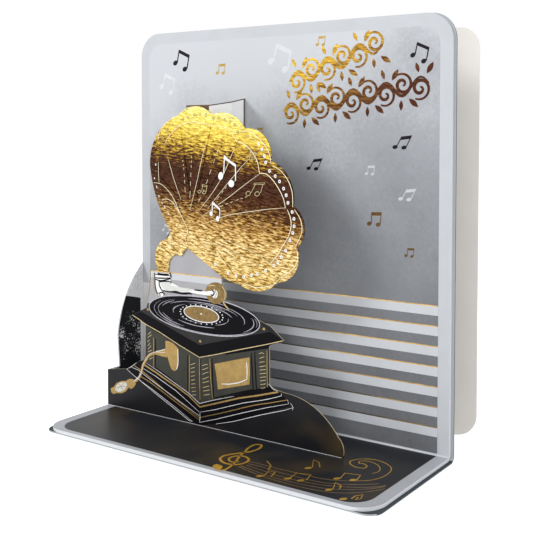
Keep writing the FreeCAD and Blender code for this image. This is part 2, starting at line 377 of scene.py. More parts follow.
# Base print: a border of silver-grey ink, a little glossier than the wall's, round a field of
# semi-gloss black, a deep dark with a soft highlight, and brown clouds of painted sheen on it.
silver_border = finish_material("coated_board_silver_border", "#a9acb2", 0.42, mottle=0.05, grain_mm=7)
black_ink = finish_material(
    "semi_gloss_ink_black_painted_sheen", "#191b20", 0.38, mottle=0.25, grain_mm=14, gloss=0.2, painted_sheen_colour="#382f22"
)
base_edge = round_box(-half_width + 0.1, half_width - 0.1, -base_depth + 0.1, -0.8, 8.9, 0.2)
base_field = round_box(field_left, field_right, -base_depth + FRONT_BORDER, -0.7, 8, 0.2)
printed("base_silver_border", [area(base_edge)], on_base, silver_border)
printed("base_black_field", [area(base_field)], on_base, black_ink, layer=1)


# Notes on the wall: two heads, two stems and a thick beam in three cuts, each ten units high about
# its middle. They are printed in black and white ink or stamped in foil.
NOTE_CUTS = {
    "falling": (
        [(-3.75, -1.0), (1.99, -4.03)],
        (1.4, 1.1, 25),
        [[(-2.6, -0.9), (-1.35, 4.7)], [(3.3, -3.8), (4.55, 2.1)]],
        [(-1.5, 5.1), (4.9, 2.3), (4.6, 0.8), (-1.6, 3.5)],
    ),
    "leaning": (
        [(-5.2, -3.2), (1.8, -3.5)],
        (2.1, 1.35, 12),
        [[(-3.7, -2.4), (0.1, 4.1)], [(3.7, -2.7), (7.5, 4.5)]],
        [(-0.1, 4.1), (8.2, 5.0), (6.7, 2.6), (-1.4, 1.6)],
    ),
    "level": (
        [(-3.8, -2.9), (3.0, -3.2)],
        (1.8, 1.4, 20),
        [[(-2.2, -2.3), (-1.9, 4.5)], [(4.6, -2.6), (5.4, 4.9)]],
        [(-2.2, 4.9), (5.7, 5.3), (5.5, 2.9), (-2.1, 2.7)],
    ),
}
STEM_WIDTH = 0.62


def ellipse(x, y, rx, ry, tilt=0.0, count=40):
    """Points round an ellipse turned by a tilt in degrees."""
    t = np.linspace(0, 2 * np.pi, count, endpoint=False)
    c, s = math.cos(math.radians(tilt)), math.sin(math.radians(tilt))
    u, v = rx * np.cos(t), ry * np.sin(t)
    return np.stack([x + c * u - s * v, y + s * u + c * v], 1)


def stroke(points, width, closed=False, taper=0.0):
    """A drawn line: its two sides lie half a width to each side of the path, less at the ends."""
    p = np.array(points, float)
    ahead = np.roll(p, -1, 0) - p
    behind = p - np.roll(p, 1, 0)
    if not closed:
        ahead[-1] = behind[-1]
        behind[0] = ahead[0]
    along = ahead / (np.linalg.norm(ahead, axis=1, keepdims=True) + 1e-9)
    along = along + behind / (np.linalg.norm(behind, axis=1, keepdims=True) + 1e-9)
    along /= np.linalg.norm(along, axis=1, keepdims=True) + 1e-9
    side = np.stack([-along[:, 1], along[:, 0]], 1)
    t = np.linspace(0, 1, len(p))
    half = width / 2 * (1 - taper * np.abs(2 * t - 1) ** 2)
    return (p + side * half[:, None], p - side * half[:, None], closed)


def note(cut, x, z, height):
    """A pair of notes in one of the cuts, scaled to its height about its middle."""
    heads, (rx, rz, tilt), stems, beam = NOTE_CUTS[cut]
    shapes = [ellipse(hx, hz, rx, rz, tilt, 20) for hx, hz in heads] + [area(beam)]
    shapes = [shape * (height / 10) + (x, z) for shape in shapes]
    stems = [np.array(line) * (height / 10) + (x, z) for line in stems]
    return shapes + [stroke(line, STEM_WIDTH * height / 10) for line in stems]


def notes(places):
    """All the notes of one colour."""
    return [shape for placed in places for shape in note(*placed)]


BLACK_NOTES = [
    ("falling", -51.6, 147.8, 9.4),
    ("falling", 62.3, 145.8, 7.7),
    ("leaning", 55.1, 113.3, 5.3),
    ("leaning", 16.7, 104.5, 4.9),
]
WHITE_NOTES = [
    ("falling", -59.7, 137.9, 9.5),
    ("falling", 0.3, 146.6, 11.7),
    ("falling", -60.8, 74.6, 4.4),
]
DIM_WHITE_NOTES = [("level", 41.7, 102.6, 3.8), ("leaning", 57.3, 94.1, 4.8)]
GOLD_NOTES = [("level", -30.1, 143.1, 4.6), ("level", 19.5, 152.1, 4.0), ("level", -10.1, 117.0, 3.6)]
DARK_REFLECTION_NOTES = [("level", 43.7, 84.3, 5.6), ("level", 58.5, 72.8, 3.6)]

# Satin inks lie flat and even, and the white is thin enough for the grey to dim it. The foils give
# bright metal, and the brown notes carry a painted dark reflection of the room in their colour.
note_ink = finish_material("satin_ink_note_black", "#17131a", 0.5, mottle=0.1, gloss=0.12)
thin_white = finish_material("satin_ink_thin_white", "#d2d4d8", 0.5, mottle=0.06, grain_mm=2)
dim_white = finish_material("satin_ink_dim_white", "#c0c3c8", 0.5, mottle=0.06, grain_mm=2)
note_gold = finish_material(
    "stamped_foil_note_gold", "#b5984f", 0.34, metallic=0.9, mottle=0.3, grain_mm=2, bump=0.05
)
note_painted_reflection = finish_material(
    "stamped_foil_note_painted_dark_reflection", "#5f4829", 0.34, metallic=0.9, mottle=0.5, grain_mm=2, bump=0.05
)
printed("wall_black_notes", notes(BLACK_NOTES), on_wall, note_ink, layer=1)
printed("wall_white_notes", notes(WHITE_NOTES), on_wall, thin_white, layer=1)
printed("wall_dim_white_notes", notes(DIM_WHITE_NOTES), on_wall, dim_white, layer=1)
printed("wall_gold_notes", notes(GOLD_NOTES), on_wall, note_gold, layer=1)
printed("wall_notes_painted_dark_reflection", notes(DARK_REFLECTION_NOTES), on_wall, note_painted_reflection, layer=1)


# Gold scroll on the wall: two rising rows of running scroll with leaves. It is bright metal foil,
# hot-stamped on the ink, with a painted reflection of the room: yellow at the left, brown at the right.
def gold_foil(name, direction, span, stops, roughness, streak_mm, drift, crinkle_shade):
    """Stamped foil with a painted reflection: its tone follows a direction on the card through a ramp
    that paints the room's light and dark as the foil mirrors them. Thin streaks along the card shift
    the tone by a drift, and the same streaks darken it as painted crinkle shade and raise its surface."""
    material, tree, shader, place = new_finish(name)
    squeeze = add_node(
        tree,
        "ShaderNodeMapping",
        {"Vector": place, "Rotation": (0.0, 0.12, 0.0), "Scale": (1.0, 1.0, 0.22)},
        vector_type="TEXTURE",
    )
    streaks = add_node(
        tree,
        "ShaderNodeTexNoise",
        {
            "Vector": squeeze.outputs[0],
            "Scale": 1 / (streak_mm * MM),
            "Detail": 6.0,
            "Roughness": 0.68,
        },
    )
    along = add_node(tree, "ShaderNodeVectorMath", {0: place, 1: direction}, operation="DOT_PRODUCT")
    level = add_node(
        tree,
        "ShaderNodeMapRange",
        {"Value": along.outputs["Value"], "From Min": span[0], "From Max": span[1]},
    )
    second = add_node(tree, "ShaderNodeSeparateColor", {"Color": streaks.outputs["Color"]})
    shake = add_node(
        tree,
        "ShaderNodeMapRange",
        {
            "Value": second.outputs["Green"],
            "From Min": 0.42,
            "From Max": 0.58,
            "To Min": -0.5,
            "To Max": 0.5,
        },
    )
    moved = add_node(
        tree,
        "ShaderNodeMath",
        {0: shake.outputs[0], 1: drift, 2: level.outputs[0]},
        operation="MULTIPLY_ADD",
    )
    # Painted reflection: the ramp's colours stand for the light and dark of the room mirrored in the
    # foil.
    tone = add_node(tree, "ShaderNodeValToRGB", {"Fac": moved.outputs[0]}, stops=stops)
    shade = add_node(
        tree,
        "ShaderNodeValToRGB",
        {"Fac": streaks.outputs["Fac"]},
        stops=[(0.4, "#80633a"), (0.49, "#d6c398"), (0.56, "#ffffff")],
    )
    depth = add_node(
        tree,
        "ShaderNodeMapRange",
        {
            "Value": level.outputs[0],
            "From Min": 0.45,
            "From Max": 0.8,
            "To Min": crinkle_shade,
            "To Max": crinkle_shade / 2,
        },
    )
    # Painted crinkle shade: the streaks darken the foil's colour, more strongly at the low end of the
    # ramp.
    foil_with_painted_light = add_node(
        tree,
        "ShaderNodeMix",
        {"Factor": depth.outputs[0], "A": tone.outputs["Color"], "B": shade.outputs["Color"]},
        data_type="RGBA",
        blend_type="MULTIPLY",
    )
    tree.links.new(foil_with_painted_light.outputs["Result"], shader.inputs["Base Color"])
    shader.inputs["Metallic"].default_value = 1.0
    shader.inputs["Roughness"].default_value = roughness
    relief = add_node(
        tree,
        "ShaderNodeBump",
        {"Height": streaks.outputs["Fac"], "Strength": 0.5, "Distance": 0.4 * MM},
    )
    tree.links.new(relief.outputs["Normal"], shader.inputs["Normal"])
    return material


def volute(x, z, radius, turns, start, hand):
    """A spiral whose radius grows with the 0.8 power of its turn."""
    t = np.linspace(0.03, 1, int(26 * turns))
    a = math.radians(start) + hand * 2 * np.pi * turns * t
    r = radius * t**0.8
    return np.stack([x + r * np.cos(a), z + r * np.sin(a)], 1)


def leaf(x, z, length, turn):
    """A pointed leaf: two mirrored half waves that meet at both tips."""
    t = np.linspace(0, 1, 12)
    bow = 0.2 * length * np.sin(np.pi * t)
    upper = np.stack([length * t, bow], 1)
    lower = np.stack([length * t, -bow], 1)[::-1][1:-1]
    a = math.radians(turn)
    rotate = np.array([[math.cos(a), math.sin(a)], [-math.sin(a), math.cos(a)]])
    return np.vstack([upper, lower]) @ rotate + (x, z)


def scroll_row(x0, z0, x1, z1, count, radius):
    """A stem that waves along a straight line, and in each of its bows a volute and two leaves."""
    shapes = []
    slope = math.degrees(math.atan2(z1 - z0, x1 - x0))
    t = np.linspace(0, 1, 60)
    wave = radius * 0.55 * np.sin(np.pi * count * t)
    stem = stroke(np.stack([x0 + (x1 - x0) * t, z0 + (z1 - z0) * t + wave], 1), 1.7, taper=0.7)
    for i in range(count):
        f = (i + 0.5) / count
        up = 1 if i % 2 == 0 else -1
        cx = x0 + (x1 - x0) * f
        cz = z0 + (z1 - z0) * f - up * radius * 0.25
        spiral = volute(cx, cz, radius * 0.8, 1.6, 90 * up + slope, -up)
        shapes.append(stroke(spiral, 1.3, taper=0.5))
        shapes.append(leaf(cx + radius * 0.5, cz + up * radius, radius * 0.95, up * 48 + slope))
        shapes.append(leaf(cx - radius * 0.1, cz + up * radius * 1.1, radius * 0.75, up * 100 + slope))
    return stem, shapes


scroll_gold = gold_foil(
    "stamped_foil_scroll_gold_painted_reflection",
    direction=(0.7, 0.0, -1.0),
    span=(-0.152, -0.078),
    stops=[
        (0.0, "#e6cf60"),
        (0.22, "#c5a03c"),
        (0.4, "#a8853c"),
        (0.52, "#7a5832"),
        (0.64, "#593a26"),
        (0.82, "#482a22"),
        (1.0, "#553524"),
    ],
    roughness=0.36,
    streak_mm=4.0,
    drift=0.2,
    crinkle_shade=0.6,
)
upper_stem, upper_turns = scroll_row(5, 137.0, 47, 150.3, 6, 5.2)
lower_stem, lower_turns = scroll_row(2, 125.2, 66, 134.8, 9, 5.2)
scroll_turns = upper_turns + lower_turns
scroll_stems = [upper_stem, lower_stem]
printed("wall_gold_scroll", scroll_turns, on_wall, scroll_gold, layer=1)
printed("wall_gold_scroll_stems", scroll_stems, on_wall, scroll_gold, layer=2)


# Music print on the base: a staff that flows to the right border, with a clef, notes and a scroll.
# All of it is stamped foil on the black: the staff in dull old gold, the rest a warmer gold.
BASE_STAFF = [
    [(16.5, -42.5), (21.3, -42.1), (27.9, -42.3), (34, -42.1), (41.4, -41.8), (47.3, -41.6),
     (52.8, -40), (57.7, -37.4)],
    [(18.1, -44.2), (23.5, -44), (32.5, -44.8), (39.4, -44.9), (46, -44.8), (51.8, -43.6),
     (56.9, -41.4), (61.5, -38.4), (65.8, -34.9)],
    [(18.6, -45.8), (24.6, -46.5), (33.9, -47.6), (41.3, -47.5), (47.3, -46.8), (52.9, -45.4),
     (58, -43.3), (62.7, -40.7), (66.6, -37.4), (68.3, -34.9)],
    [(17.3, -47.3), (23.2, -48.3), (31.9, -49.6), (39.3, -49.7), (46.3, -49.2), (52.1, -48.3),
     (57.3, -46.3), (62.7, -42.7), (66.7, -38.8), (68.5, -35.8)],
    [(17.1, -48.3), (23.8, -50), (31.6, -51.1), (40, -51.6), (47.7, -51.4), (53.6, -50.6),
     (58.8, -48.8), (64, -45), (67.7, -40.5), (69.4, -37.5)],
]
CLEF = [
    (9.7, -52.7), (13.2, -54.5), (15, -53.2), (14.6, -49.3), (13.3, -44.9), (11, -39.6),
    (10, -35.7), (8.6, -31.5), (8.4, -27.6), (10.3, -26.1), (12.2, -29.1), (11.8, -33.5),
    (10.2, -36.3), (8, -39.2), (6.3, -42.6), (6.6, -45.4), (8.8, -47.5), (11.8, -48.4),
    (15.2, -47.3), (16.8, -44.3), (16.1, -41.1), (13.5, -39.4), (10.8, -39.9), (9.3, -42.3),
    (10, -44.9), (12.5, -46.1), (14.3, -44.4),
]
CLEF_BALL = [
    (8.9, -52.3), (9.2, -50.7), (11.3, -50.7), (13, -51.8), (13.5, -54.1), (11.6, -54.5),
    (9.8, -53.6),
]
SCROLL_CURL = [
    (57.7, -37.4), (62, -33.7), (64, -28.4), (63.5, -22.5), (61.2, -18.9), (57, -16.7),
    (52.6, -16.5), (48.9, -18.6), (47.2, -21.9), (48.4, -24.6), (51.6, -26.2), (54.5, -25.5),
    (54.3, -23.1), (52, -21.9), (50.7, -22.3), (50, -20.4), (52.6, -18.9), (56.5, -20),
    (59.3, -22.6), (60.3, -25.6), (59.5, -28.2),
]
BASE_HEADS = [
    (38.2, -36.1), (51.7, -38.8), (56.9, -36.9), (54.6, -48.5), (28.6, -51.3), (37.8, -48),
    (42.4, -46.9), (62.4, -52.3),
]
BASE_STEMS = [
    [(39.1, -34.8), (35.3, -28.3), (38.5, -29.5), (41.2, -33.2)],
    [(52.5, -37.9), (51.4, -33.1), (56.8, -31.8), (58, -36.3)],
    [(55.5, -47.4), (53, -41.9), (56.2, -43.4), (57.1, -46)],
    [(29.6, -50.4), (28.4, -45.8), (31.1, -45.8), (32, -49.4)],
    [(22.3, -38.6), (26.3, -41.6), (27.7, -45.4)],
    [(38.2, -47.1), (37.6, -42.2), (42.4, -40.6), (43.8, -45.7)],
    [(64.5, -50.8), (64.4, -48), (65.9, -45.8), (67, -49.1), (65.9, -50.6), (65.6, -48.3)],
]
def smooth(points, steps=8, closed=False):
    """A curve through the points: each span is the cubic blend of its four nearest points."""
    p = np.array(points, float)
    if closed:
        p = np.vstack([p[-1], p, p[0], p[1]])
    else:
        p = np.vstack([2 * p[0] - p[1], p, 2 * p[-1] - p[-2]])
    t = np.linspace(0, 1, steps, endpoint=False)[None, :, None]
    a, b, c, d = (p[i : len(p) - 3 + i][:, None, :] for i in range(4))
    spans = 0.5 * (
        2 * b + (c - a) * t + (2 * a - 5 * b + 4 * c - d) * t**2 + (3 * b - a - 3 * c + d) * t**3
    )
    curve = spans.reshape(-1, 2)
    return curve if closed else np.vstack([curve, p[-2]])


staff_gold = finish_material(
    "stamped_foil_print_staff_gold", "#9c8058", 0.4, metallic=0.6, mottle=0.35, grain_mm=3, bump=0.05
)
deep_gold = finish_material(
    "stamped_foil_print_deep_gold", "#e5a83c", 0.32, metallic=0.6, mottle=0.3, grain_mm=4, bump=0.05
)
staff = [stroke(smooth(line), 0.28) for line in BASE_STAFF]
printed("base_gold_staff", staff, on_base, staff_gold, layer=2)
music = [stroke(smooth(CLEF), 1.0, taper=0.3), area(CLEF_BALL)]
music.append(stroke(smooth(SCROLL_CURL), 0.4, taper=0.4))
music += [ellipse(x, y, 1.35, 0.85, 55, 16) for x, y in BASE_HEADS]
music += [stroke(line, 0.42) for line in BASE_STEMS]
printed("base_gold_music", music, on_base, deep_gold, layer=3)


# Side wing print: black below and pale grey above, each dry-brushed with flecks of the other tone.
# The wing is folded forwards out of the wall's left edge, and its edge is left unprinted.
WING_THICKNESS = 0.5


def on_wing(p):
    """Wing print on its inner face: Y from the fold, Z above the floor, out to the right."""
    inner = card_lo[0] + WING_THICKNESS * MM
    return np.stack([inner + p[:, 2] * MM, wall_front + p[:, 0] * MM, floor_top + p[:, 1] * MM], 1)


def speckled_ink(name, ground, fleck, middle, reach):
    """Dry-brushed ink: flecks under a millimetre wide, thickest about one height above the table
    and fewer away from it, and none where a slow noise is low. Rough and matt, like chalk."""
    fleck_mm, patch_mm, patch_share, threshold = 0.8, 7.69, 0.7, 1.04
    material, tree, shader, place = new_finish(name)
    fine = add_node(
        tree,
        "ShaderNodeTexNoise",
        {"Vector": place, "Scale": 1 / (fleck_mm * MM), "Detail": 3.0, "Roughness": 0.7},
    )
    patch = add_node(
        tree, "ShaderNodeTexNoise", {"Vector": place, "Scale": 1 / (patch_mm * MM), "Detail": 2.0}
    )
    away = add_node(
        tree, "ShaderNodeMath", {0: along_axis(tree, "Z"), 1: middle}, operation="SUBTRACT"
    )
    distance = add_node(tree, "ShaderNodeMath", {0: away.outputs[0]}, operation="ABSOLUTE")
    fade = add_node(
        tree,
        "ShaderNodeMapRange",
        {"Value": distance.outputs[0], "From Max": reach, "To Min": 0.14, "To Max": -0.1},
    )
    total = add_node(
        tree,
        "ShaderNodeMath",
        {0: patch.outputs["Fac"], 1: patch_share, 2: fine.outputs["Fac"]},
        operation="MULTIPLY_ADD",
    )
    lifted = add_node(
        tree, "ShaderNodeMath", {0: total.outputs[0], 1: fade.outputs[0]}, operation="ADD"
    )
    fleck_here = add_node(
        tree, "ShaderNodeMath", {0: lifted.outputs[0], 1: threshold}, operation="GREATER_THAN"
    )
    mix = add_node(
        tree,
        "ShaderNodeMix",
        {"Factor": fleck_here.outputs[0], "A": linear(ground), "B": linear(fleck)},
        data_type="RGBA",
    )
    tree.links.new(mix.outputs["Result"], shader.inputs["Base Color"])
    shader.inputs["Roughness"].default_value = 0.6
    shader.inputs["Specular IOR Level"].default_value = 0.25
    return material


WING_CURVE = [(-0.3, 58.2), (-5.6, 53.5), (-10.2, 46.0), (-13.8, 37.8), (-15.4, 29.0), (-14.6, 15.4)]
WING_LOW = [(-15.0, 14.9), (-20.6, 14.9), (-20.6, 0.9), (-0.3, 0.9)]
BLACK_TOP = [(-1.9, 43.2), (-4.0, 43.8), (-8.0, 44.8), (-10.9, 45.5)]
BLACK_CURVE = [(-10.9, 45.5), (-13.6, 38.0), (-15.3, 29.0), (-14.5, 15.4)]
BLACK_LOW = [(-15.0, 14.9), (-20.6, 14.9), (-20.6, 0.9), (-1.9, 0.9)]
wing_black = speckled_ink("dry_brushed_ink_black", "#16171b", "#eeeff0", 0.03, 0.014)
wing_grey = speckled_ink("dry_brushed_ink_pale_grey", "#fafbfb", "#dfe1e3", 0.05, 0.02)
# White satin ink: clean and flat, whiter than the board round it.
white_ink = finish_material("satin_ink_white", "#f1f1f0", 0.5, mottle=0.02)
pale_shape = np.vstack([smooth(WING_CURVE), WING_LOW])
black_shape = np.vstack([BLACK_TOP, smooth(BLACK_CURVE), BLACK_LOW])
# Painted light: a strip of white ink along the wall's left border, next to the fold, keeps the border
# white in the shade between the wing and the scene layer.
edge_left, edge_right = -half_width + 0.1, -half_width + 4.5
painted_light_margin = area([(edge_left, 0.9), (edge_right, 0.9), (edge_right, 50), (edge_left, 50)])
printed("wall_margin_painted_light", [painted_light_margin], on_wall, white_ink)
printed("wing_pale_print", [pale_shape], on_wing, wing_grey)
printed("wing_black_print", [black_shape], on_wing, wing_black, layer=1)

# Backing ply: uncoated slate board glued behind the wall and under the base, a little wider than
# the card. It is matt and fibrous, dark on its faces, and its trimmed front edge is pale.
slate = finish_material("uncoated_board_slate", "#343d43", 0.8, mottle=0.1, grain_mm=3, bump=0.06)
show_core(slate, facing(slate.node_tree, "Y", both=False), "#a9adb3")
dress("backing_ply", slate)

# Rear leaf: cream pulp card, hinged at the left by a flap glued to the ply. It is smooth and matt
# on both sides, with an even tone and no highlight.
cream = finish_material("smooth_card_cream", "#efebe5", 0.75, mottle=0.02, grain_mm=12, bump=0.03)
dress("back_leaf", cream)

# Horn strut: matt white card strip from the scene to the wall, folded at both ends into tabs that
# are dark in front. A dark line runs along its sloping top edge, and painted shade darkens its wall
# crease.
strut_card = finish_material("smooth_card_white", "#eceded", 0.7, mottle=0.03, grain_mm=8, bump=0.03)
show_core(strut_card, facing(strut_card.node_tree, "Y", both=False), "#5b4636")
dress("horn_strut", strut_card)
STRUT_FRONT = -18.9 * MM
STRUT_WALL = -17.4 * MM
strut_lo, strut_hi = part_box("horn_strut")
strut_depth = (strut_hi[1] - strut_lo[1]) / MM
strut_places = [strut_lo[1], (strut_lo[1] + strut_hi[1]) / 2, strut_hi[1]]


def on_strut(p):
    """Print on the strip's right side: depth behind the scene, Z above the floor, out to the right.
    The strip bows to the right, so its side is two straight runs."""
    y = strut_lo[1] + p[:, 0] * MM
    x = np.interp(y, strut_places, [STRUT_FRONT, strut_hi[0], STRUT_WALL])
    return np.stack([x + (p[:, 2] + INK) * MM, y, floor_top + p[:, 1] * MM], 1)


crease_front = strut_depth - 1.0
top_slope = stroke([(0.0, 127.4), (strut_depth / 2, 129.05), (strut_depth, 130.7)], 0.45)
# Painted shade: a dark band 1 mm wide down the crease where the strip meets the wall.
crease_shade = area([(crease_front, 116), (strut_depth, 116), (strut_depth, 130.9), (crease_front, 130.6)])
dark_edge_and_crease_shade = finish_material("umber_edge_line_and_painted_crease_shade", "#4d4640", 0.6, mottle=0.15, grain_mm=3)
printed("strut_dark_edge_and_painted_crease_shade", [top_slope, crease_shade], on_strut, dark_edge_and_crease_shade)


# Scene layer: one die-cut card printed all over in semi-gloss black, with a pale cut edge, its foot
# folded back and glued to the base. Black with brown clouds of painted sheen, and plain black at its
# left end.
scene_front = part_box("scene_layer")[0][1]
scene_black = finish_material(
    "semi_gloss_ink_scene_black_painted_sheen",
    "#151519",
    0.34,
    mottle=0.3,
    grain_mm=12,
    gloss=0.16,
    painted_sheen_colour="#43371f",
)
tree = scene_black.node_tree
# The painted sheen is kept off the left end, which shows plain black.
left_part = add_node(
    tree,
    "ShaderNodeMapRange",
    {"Value": along_axis(tree, "X"), "From Min": -0.015, "From Max": -0.045},
)
show_core(scene_black, left_part.outputs[0], "#141418")
above_foot = add_node(
    tree,
    "ShaderNodeMath",
    {0: along_axis(tree, "Z"), 1: floor_top + 1.0 * MM},
    operation="GREATER_THAN",
)
cut_edge = add_node(
    tree, "ShaderNodeMath", {0: facing(tree, "X"), 1: facing(tree, "Z")}, operation="MAXIMUM"
)
shown_edge = add_node(
    tree, "ShaderNodeMath", {0: cut_edge.outputs[0], 1: above_foot.outputs[0]}, operation="MULTIPLY"
)
show_core(scene_black, shown_edge.outputs[0], "#b9ac92")
dress("scene_layer", scene_black)


def on_scene(p):
    """Scene print: X along the card, Z above its floor, out to the front."""
    return np.stack([p[:, 0] * MM, scene_front - p[:, 2] * MM, floor_top + p[:, 1] * MM], 1)


# Cabinet: drawn on the scene layer in olive black, deep black, gold foil and white pen lines. Its
# two sides meet at the near corner and are seen from above.
CABINET_LEFT = -52.6
CABINET_CORNER = -23.3
CABINET_RIGHT = 10.5


def left_side(u, v):
    """A point on the cabinet's left side: u from its rear edge to the corner, v from foot to lid."""
    low = np.array([CABINET_LEFT, 20.6]) * (1 - u) + np.array([CABINET_CORNER, 8.2]) * u
    high = np.array([CABINET_LEFT, 36.6]) * (1 - u) + np.array([CABINET_CORNER, 27.4]) * u
    return tuple(low * (1 - v) + high * v)


def right_side(u, v):
    """A point on the cabinet's right side: u from the corner to its rear edge, v from foot to lid."""
    low = np.array([CABINET_CORNER, 8.2]) * (1 - u) + np.array([CABINET_RIGHT, 20.6]) * u
    high = np.array([CABINET_CORNER, 27.4]) * (1 - u) + np.array([CABINET_RIGHT, 36.6]) * u
    return tuple(low * (1 - v) + high * v)


def side_panel(side):
    """One side of the cabinet, from its foot to the lid."""
    return area([side(0.01, 0), side(0.99, 0), side(0.99, 1), side(0.01, 1)])


def drawn(lines, width, taper=0.3):
    """Pen or foil lines through their points, a little thinner at the ends."""
    return [stroke(smooth(line, 5), width, taper=taper) for line in lines]


# Semi-gloss inks: deep and dark with a weak highlight. The foil is old gold with a satin gleam, the
# foil dashes paler, and the white pen stands out dry and flat.
panel_ink = finish_material(
    "semi_gloss_ink_olive_black", "#35352f", 0.45, mottle=0.2, grain_mm=4, gloss=0.2
)
lid_ink = finish_material(
    "semi_gloss_ink_lid_black", "#09080d", 0.45, mottle=0.2, grain_mm=7, gloss=0.06
)
lid_brown = finish_material(
    "semi_gloss_ink_lid_umber", "#201e1e", 0.42, mottle=0.3, grain_mm=4, gloss=0.2
)
bronze_foil = finish_material(
    "stamped_foil_cabinet_gold", "#a18652", 0.4, metallic=0.8, mottle=0.16, grain_mm=2, bump=0.04
)
dash_gold = finish_material(
    "stamped_foil_dash_gold", "#cdb98a", 0.45, metallic=0.5, mottle=0.2, grain_mm=1.5
)
pen_white = finish_material("pen_line_white", "#e9e9ec", 0.5, mottle=0.08, grain_mm=1.2)
olive = [side_panel(left_side), side_panel(right_side)]
printed("cabinet_olive_panels", olive, on_scene, panel_ink)

# Cabinet posts: black frames round each panel, foil lines down the corner posts and a column of
# short foil dashes on each post, all stamped or printed flat on the scene layer.
PANEL_FRAMES = [
    [(-47.4, 32.1), (-47.3, 27.5), (-47.3, 20)],
    [(-29.7, 27.7), (-29.7, 19.6), (-29.8, 11.8)],
    [(-17.2, 27.7), (-16.9, 20.7), (-16.3, 12.1)],
    [(2.2, 32.7), (2.6, 26.1), (3.2, 17.8)],
    [(3.8, 33.4), (4.2, 26.3), (4.7, 18.4)],
    [(-47.3, 20), (-39, 16.5), (-29.8, 11.8)],
    [(-16.2, 12.2), (-6.1, 15.6), (3.2, 18.7)],
]
POST_LINES = [
    [(-48.2, 32.3), (-48.2, 27.4), (-48.3, 20)],
    [(-28.9, 27.6), (-28.9, 19.7), (-29, 12.3)],
    [(-23.6, 26.9), (-23.5, 19), (-23.3, 10.3)],
    [(-18.3, 27.6), (-17.8, 19.9), (-16.9, 12)],
    [(9.7, 34.7), (9.7, 28.2), (9.9, 20.6)],
]
POST_DASHES_REAR = [
    [(-51.7, 30), (-50.6, 31.1)],
    [(-51.5, 28.4), (-50.2, 29.8)],
    [(-51.3, 26.9), (-49.7, 28.7)],
    [(-51.5, 31.9), (-49.4, 33.3)],
    [(-51.4, 33.2), (-49.5, 34.6)],
    [(-51.3, 25.9), (-49.2, 26.9)],
    [(-51, 24.4), (-49.1, 25.4)],
    [(-50.6, 22.9), (-48.9, 23.9)],
]
POST_DASHES_LEFT = [
    [(-28.2, 23.8), (-25.9, 24.7)],
    [(-28.2, 22.3), (-26.1, 23)],
    [(-28.1, 20.7), (-26.1, 21.3)],
    [(-28, 19.2), (-26, 19.7)],
    [(-27.9, 17.6), (-25.9, 18.1)],
    [(-27.9, 16), (-25.8, 16.5)],
    [(-27.8, 14.5), (-25.7, 15)],
    [(-27.6, 13), (-25.5, 13.6)],
    [(-27.3, 11.7), (-25.4, 12.1)],
]
POST_DASHES_RIGHT = [
    [(-22.1, 24.3), (-20.7, 24.9), (-19.4, 25.2)],
    [(-22.2, 22.6), (-20.7, 23.2), (-19.2, 23.9)],
    [(-22.1, 20.8), (-20.6, 21.6), (-19, 22.2)],
    [(-22.1, 18.9), (-20.5, 19.5), (-18.9, 20.3)],
    [(-22, 17.5), (-20.4, 18), (-18.8, 18.6)],
    [(-21.8, 15.6), (-20.2, 16.1), (-18.6, 16.7)],
    [(-21.6, 14.2), (-20.1, 14.6), (-18.4, 15.2)],
    [(-21.3, 12.6), (-19.8, 13), (-18.2, 13.5)],
]
POST_DASHES_END = [
    [(5.9, 32.8), (7, 33.4), (8.3, 33.2)],
    [(6.2, 31.1), (7.3, 31.6), (8.4, 32)],
    [(6.1, 29.5), (7.2, 29.9), (8.5, 30.1)],
    [(6.2, 27.9), (7.4, 28.2), (9.1, 28.7)],
    [(6.3, 26.6), (7.4, 26.9), (9.2, 27.3)],
    [(6.3, 25.2), (7.5, 25.5), (9.2, 25.9)],
    [(6.4, 23.8), (7.5, 24.1), (9.1, 24.5)],
    [(6.5, 22.5), (7.6, 22.8), (9.1, 23.2)],
    [(6.6, 21.1), (7.7, 21.4), (9, 21.8)],
    [(6.8, 19.7), (7.9, 20), (9, 20.4)],
]
printed("cabinet_black_frames", drawn(PANEL_FRAMES, 0.6), on_scene, lid_ink, layer=1)
post_dashes = POST_DASHES_REAR + POST_DASHES_LEFT + POST_DASHES_RIGHT + POST_DASHES_END
dashes = [stroke(line, 0.19) for line in post_dashes]
cabinet_gold = drawn(POST_LINES, 0.34)

# Lid: its top is brown black and its two eaves deep black. A pale foil line runs along the eaves'
# foot, printed with the posts' dashes, and three gold pins mark its corners.
LID_TOP = [
    (-54.5, 43), (-49.9, 45.4), (-32.1, 52.1), (-9.9, 49.7), (7, 44.2), (10.8, 41.8), (-23.5, 32.3),
    (-55.4, 41.9),
]
LID_EAVES = [
    (-60.6, 40.3), (-54.8, 42.2), (-23.5, 32.3), (10.8, 41.8), (15, 40.1), (16.9, 39.1),
    (9.2, 36.7), (-1.7, 33.5), (-15.2, 29.6), (-23.6, 27.2), (-34.1, 30.7), (-43.9, 34.5),
    (-52.5, 37.1), (-57.2, 39.1),
]
LID_EDGE = [
    (-60.2, 40.3), (-57.2, 39.2), (-52.4, 37.2), (-43.9, 34.6), (-34.1, 30.9), (-23.6, 27.4),
    (-15.2, 29.7), (-1.7, 33.7), (9.2, 36.8), (16.9, 39.2),
]
LID_SHADOW = [
    (-10.6, 30.9), (11.7, 37.1), (11.5, 37.1), (10, 35.4), (-10.6, 30.2),
]
printed("lid_umber_top", [area(LID_TOP)], on_scene, lid_brown, layer=1)
lid_black = [area(LID_EAVES), area(LID_SHADOW)]
printed("lid_black_eaves", lid_black, on_scene, lid_ink, layer=2)
LID_PINS = [(-23.2, 33.9), (8.2, 42.6), (-51.4, 43.6)]
dashes.append(stroke(LID_EDGE, 0.28))
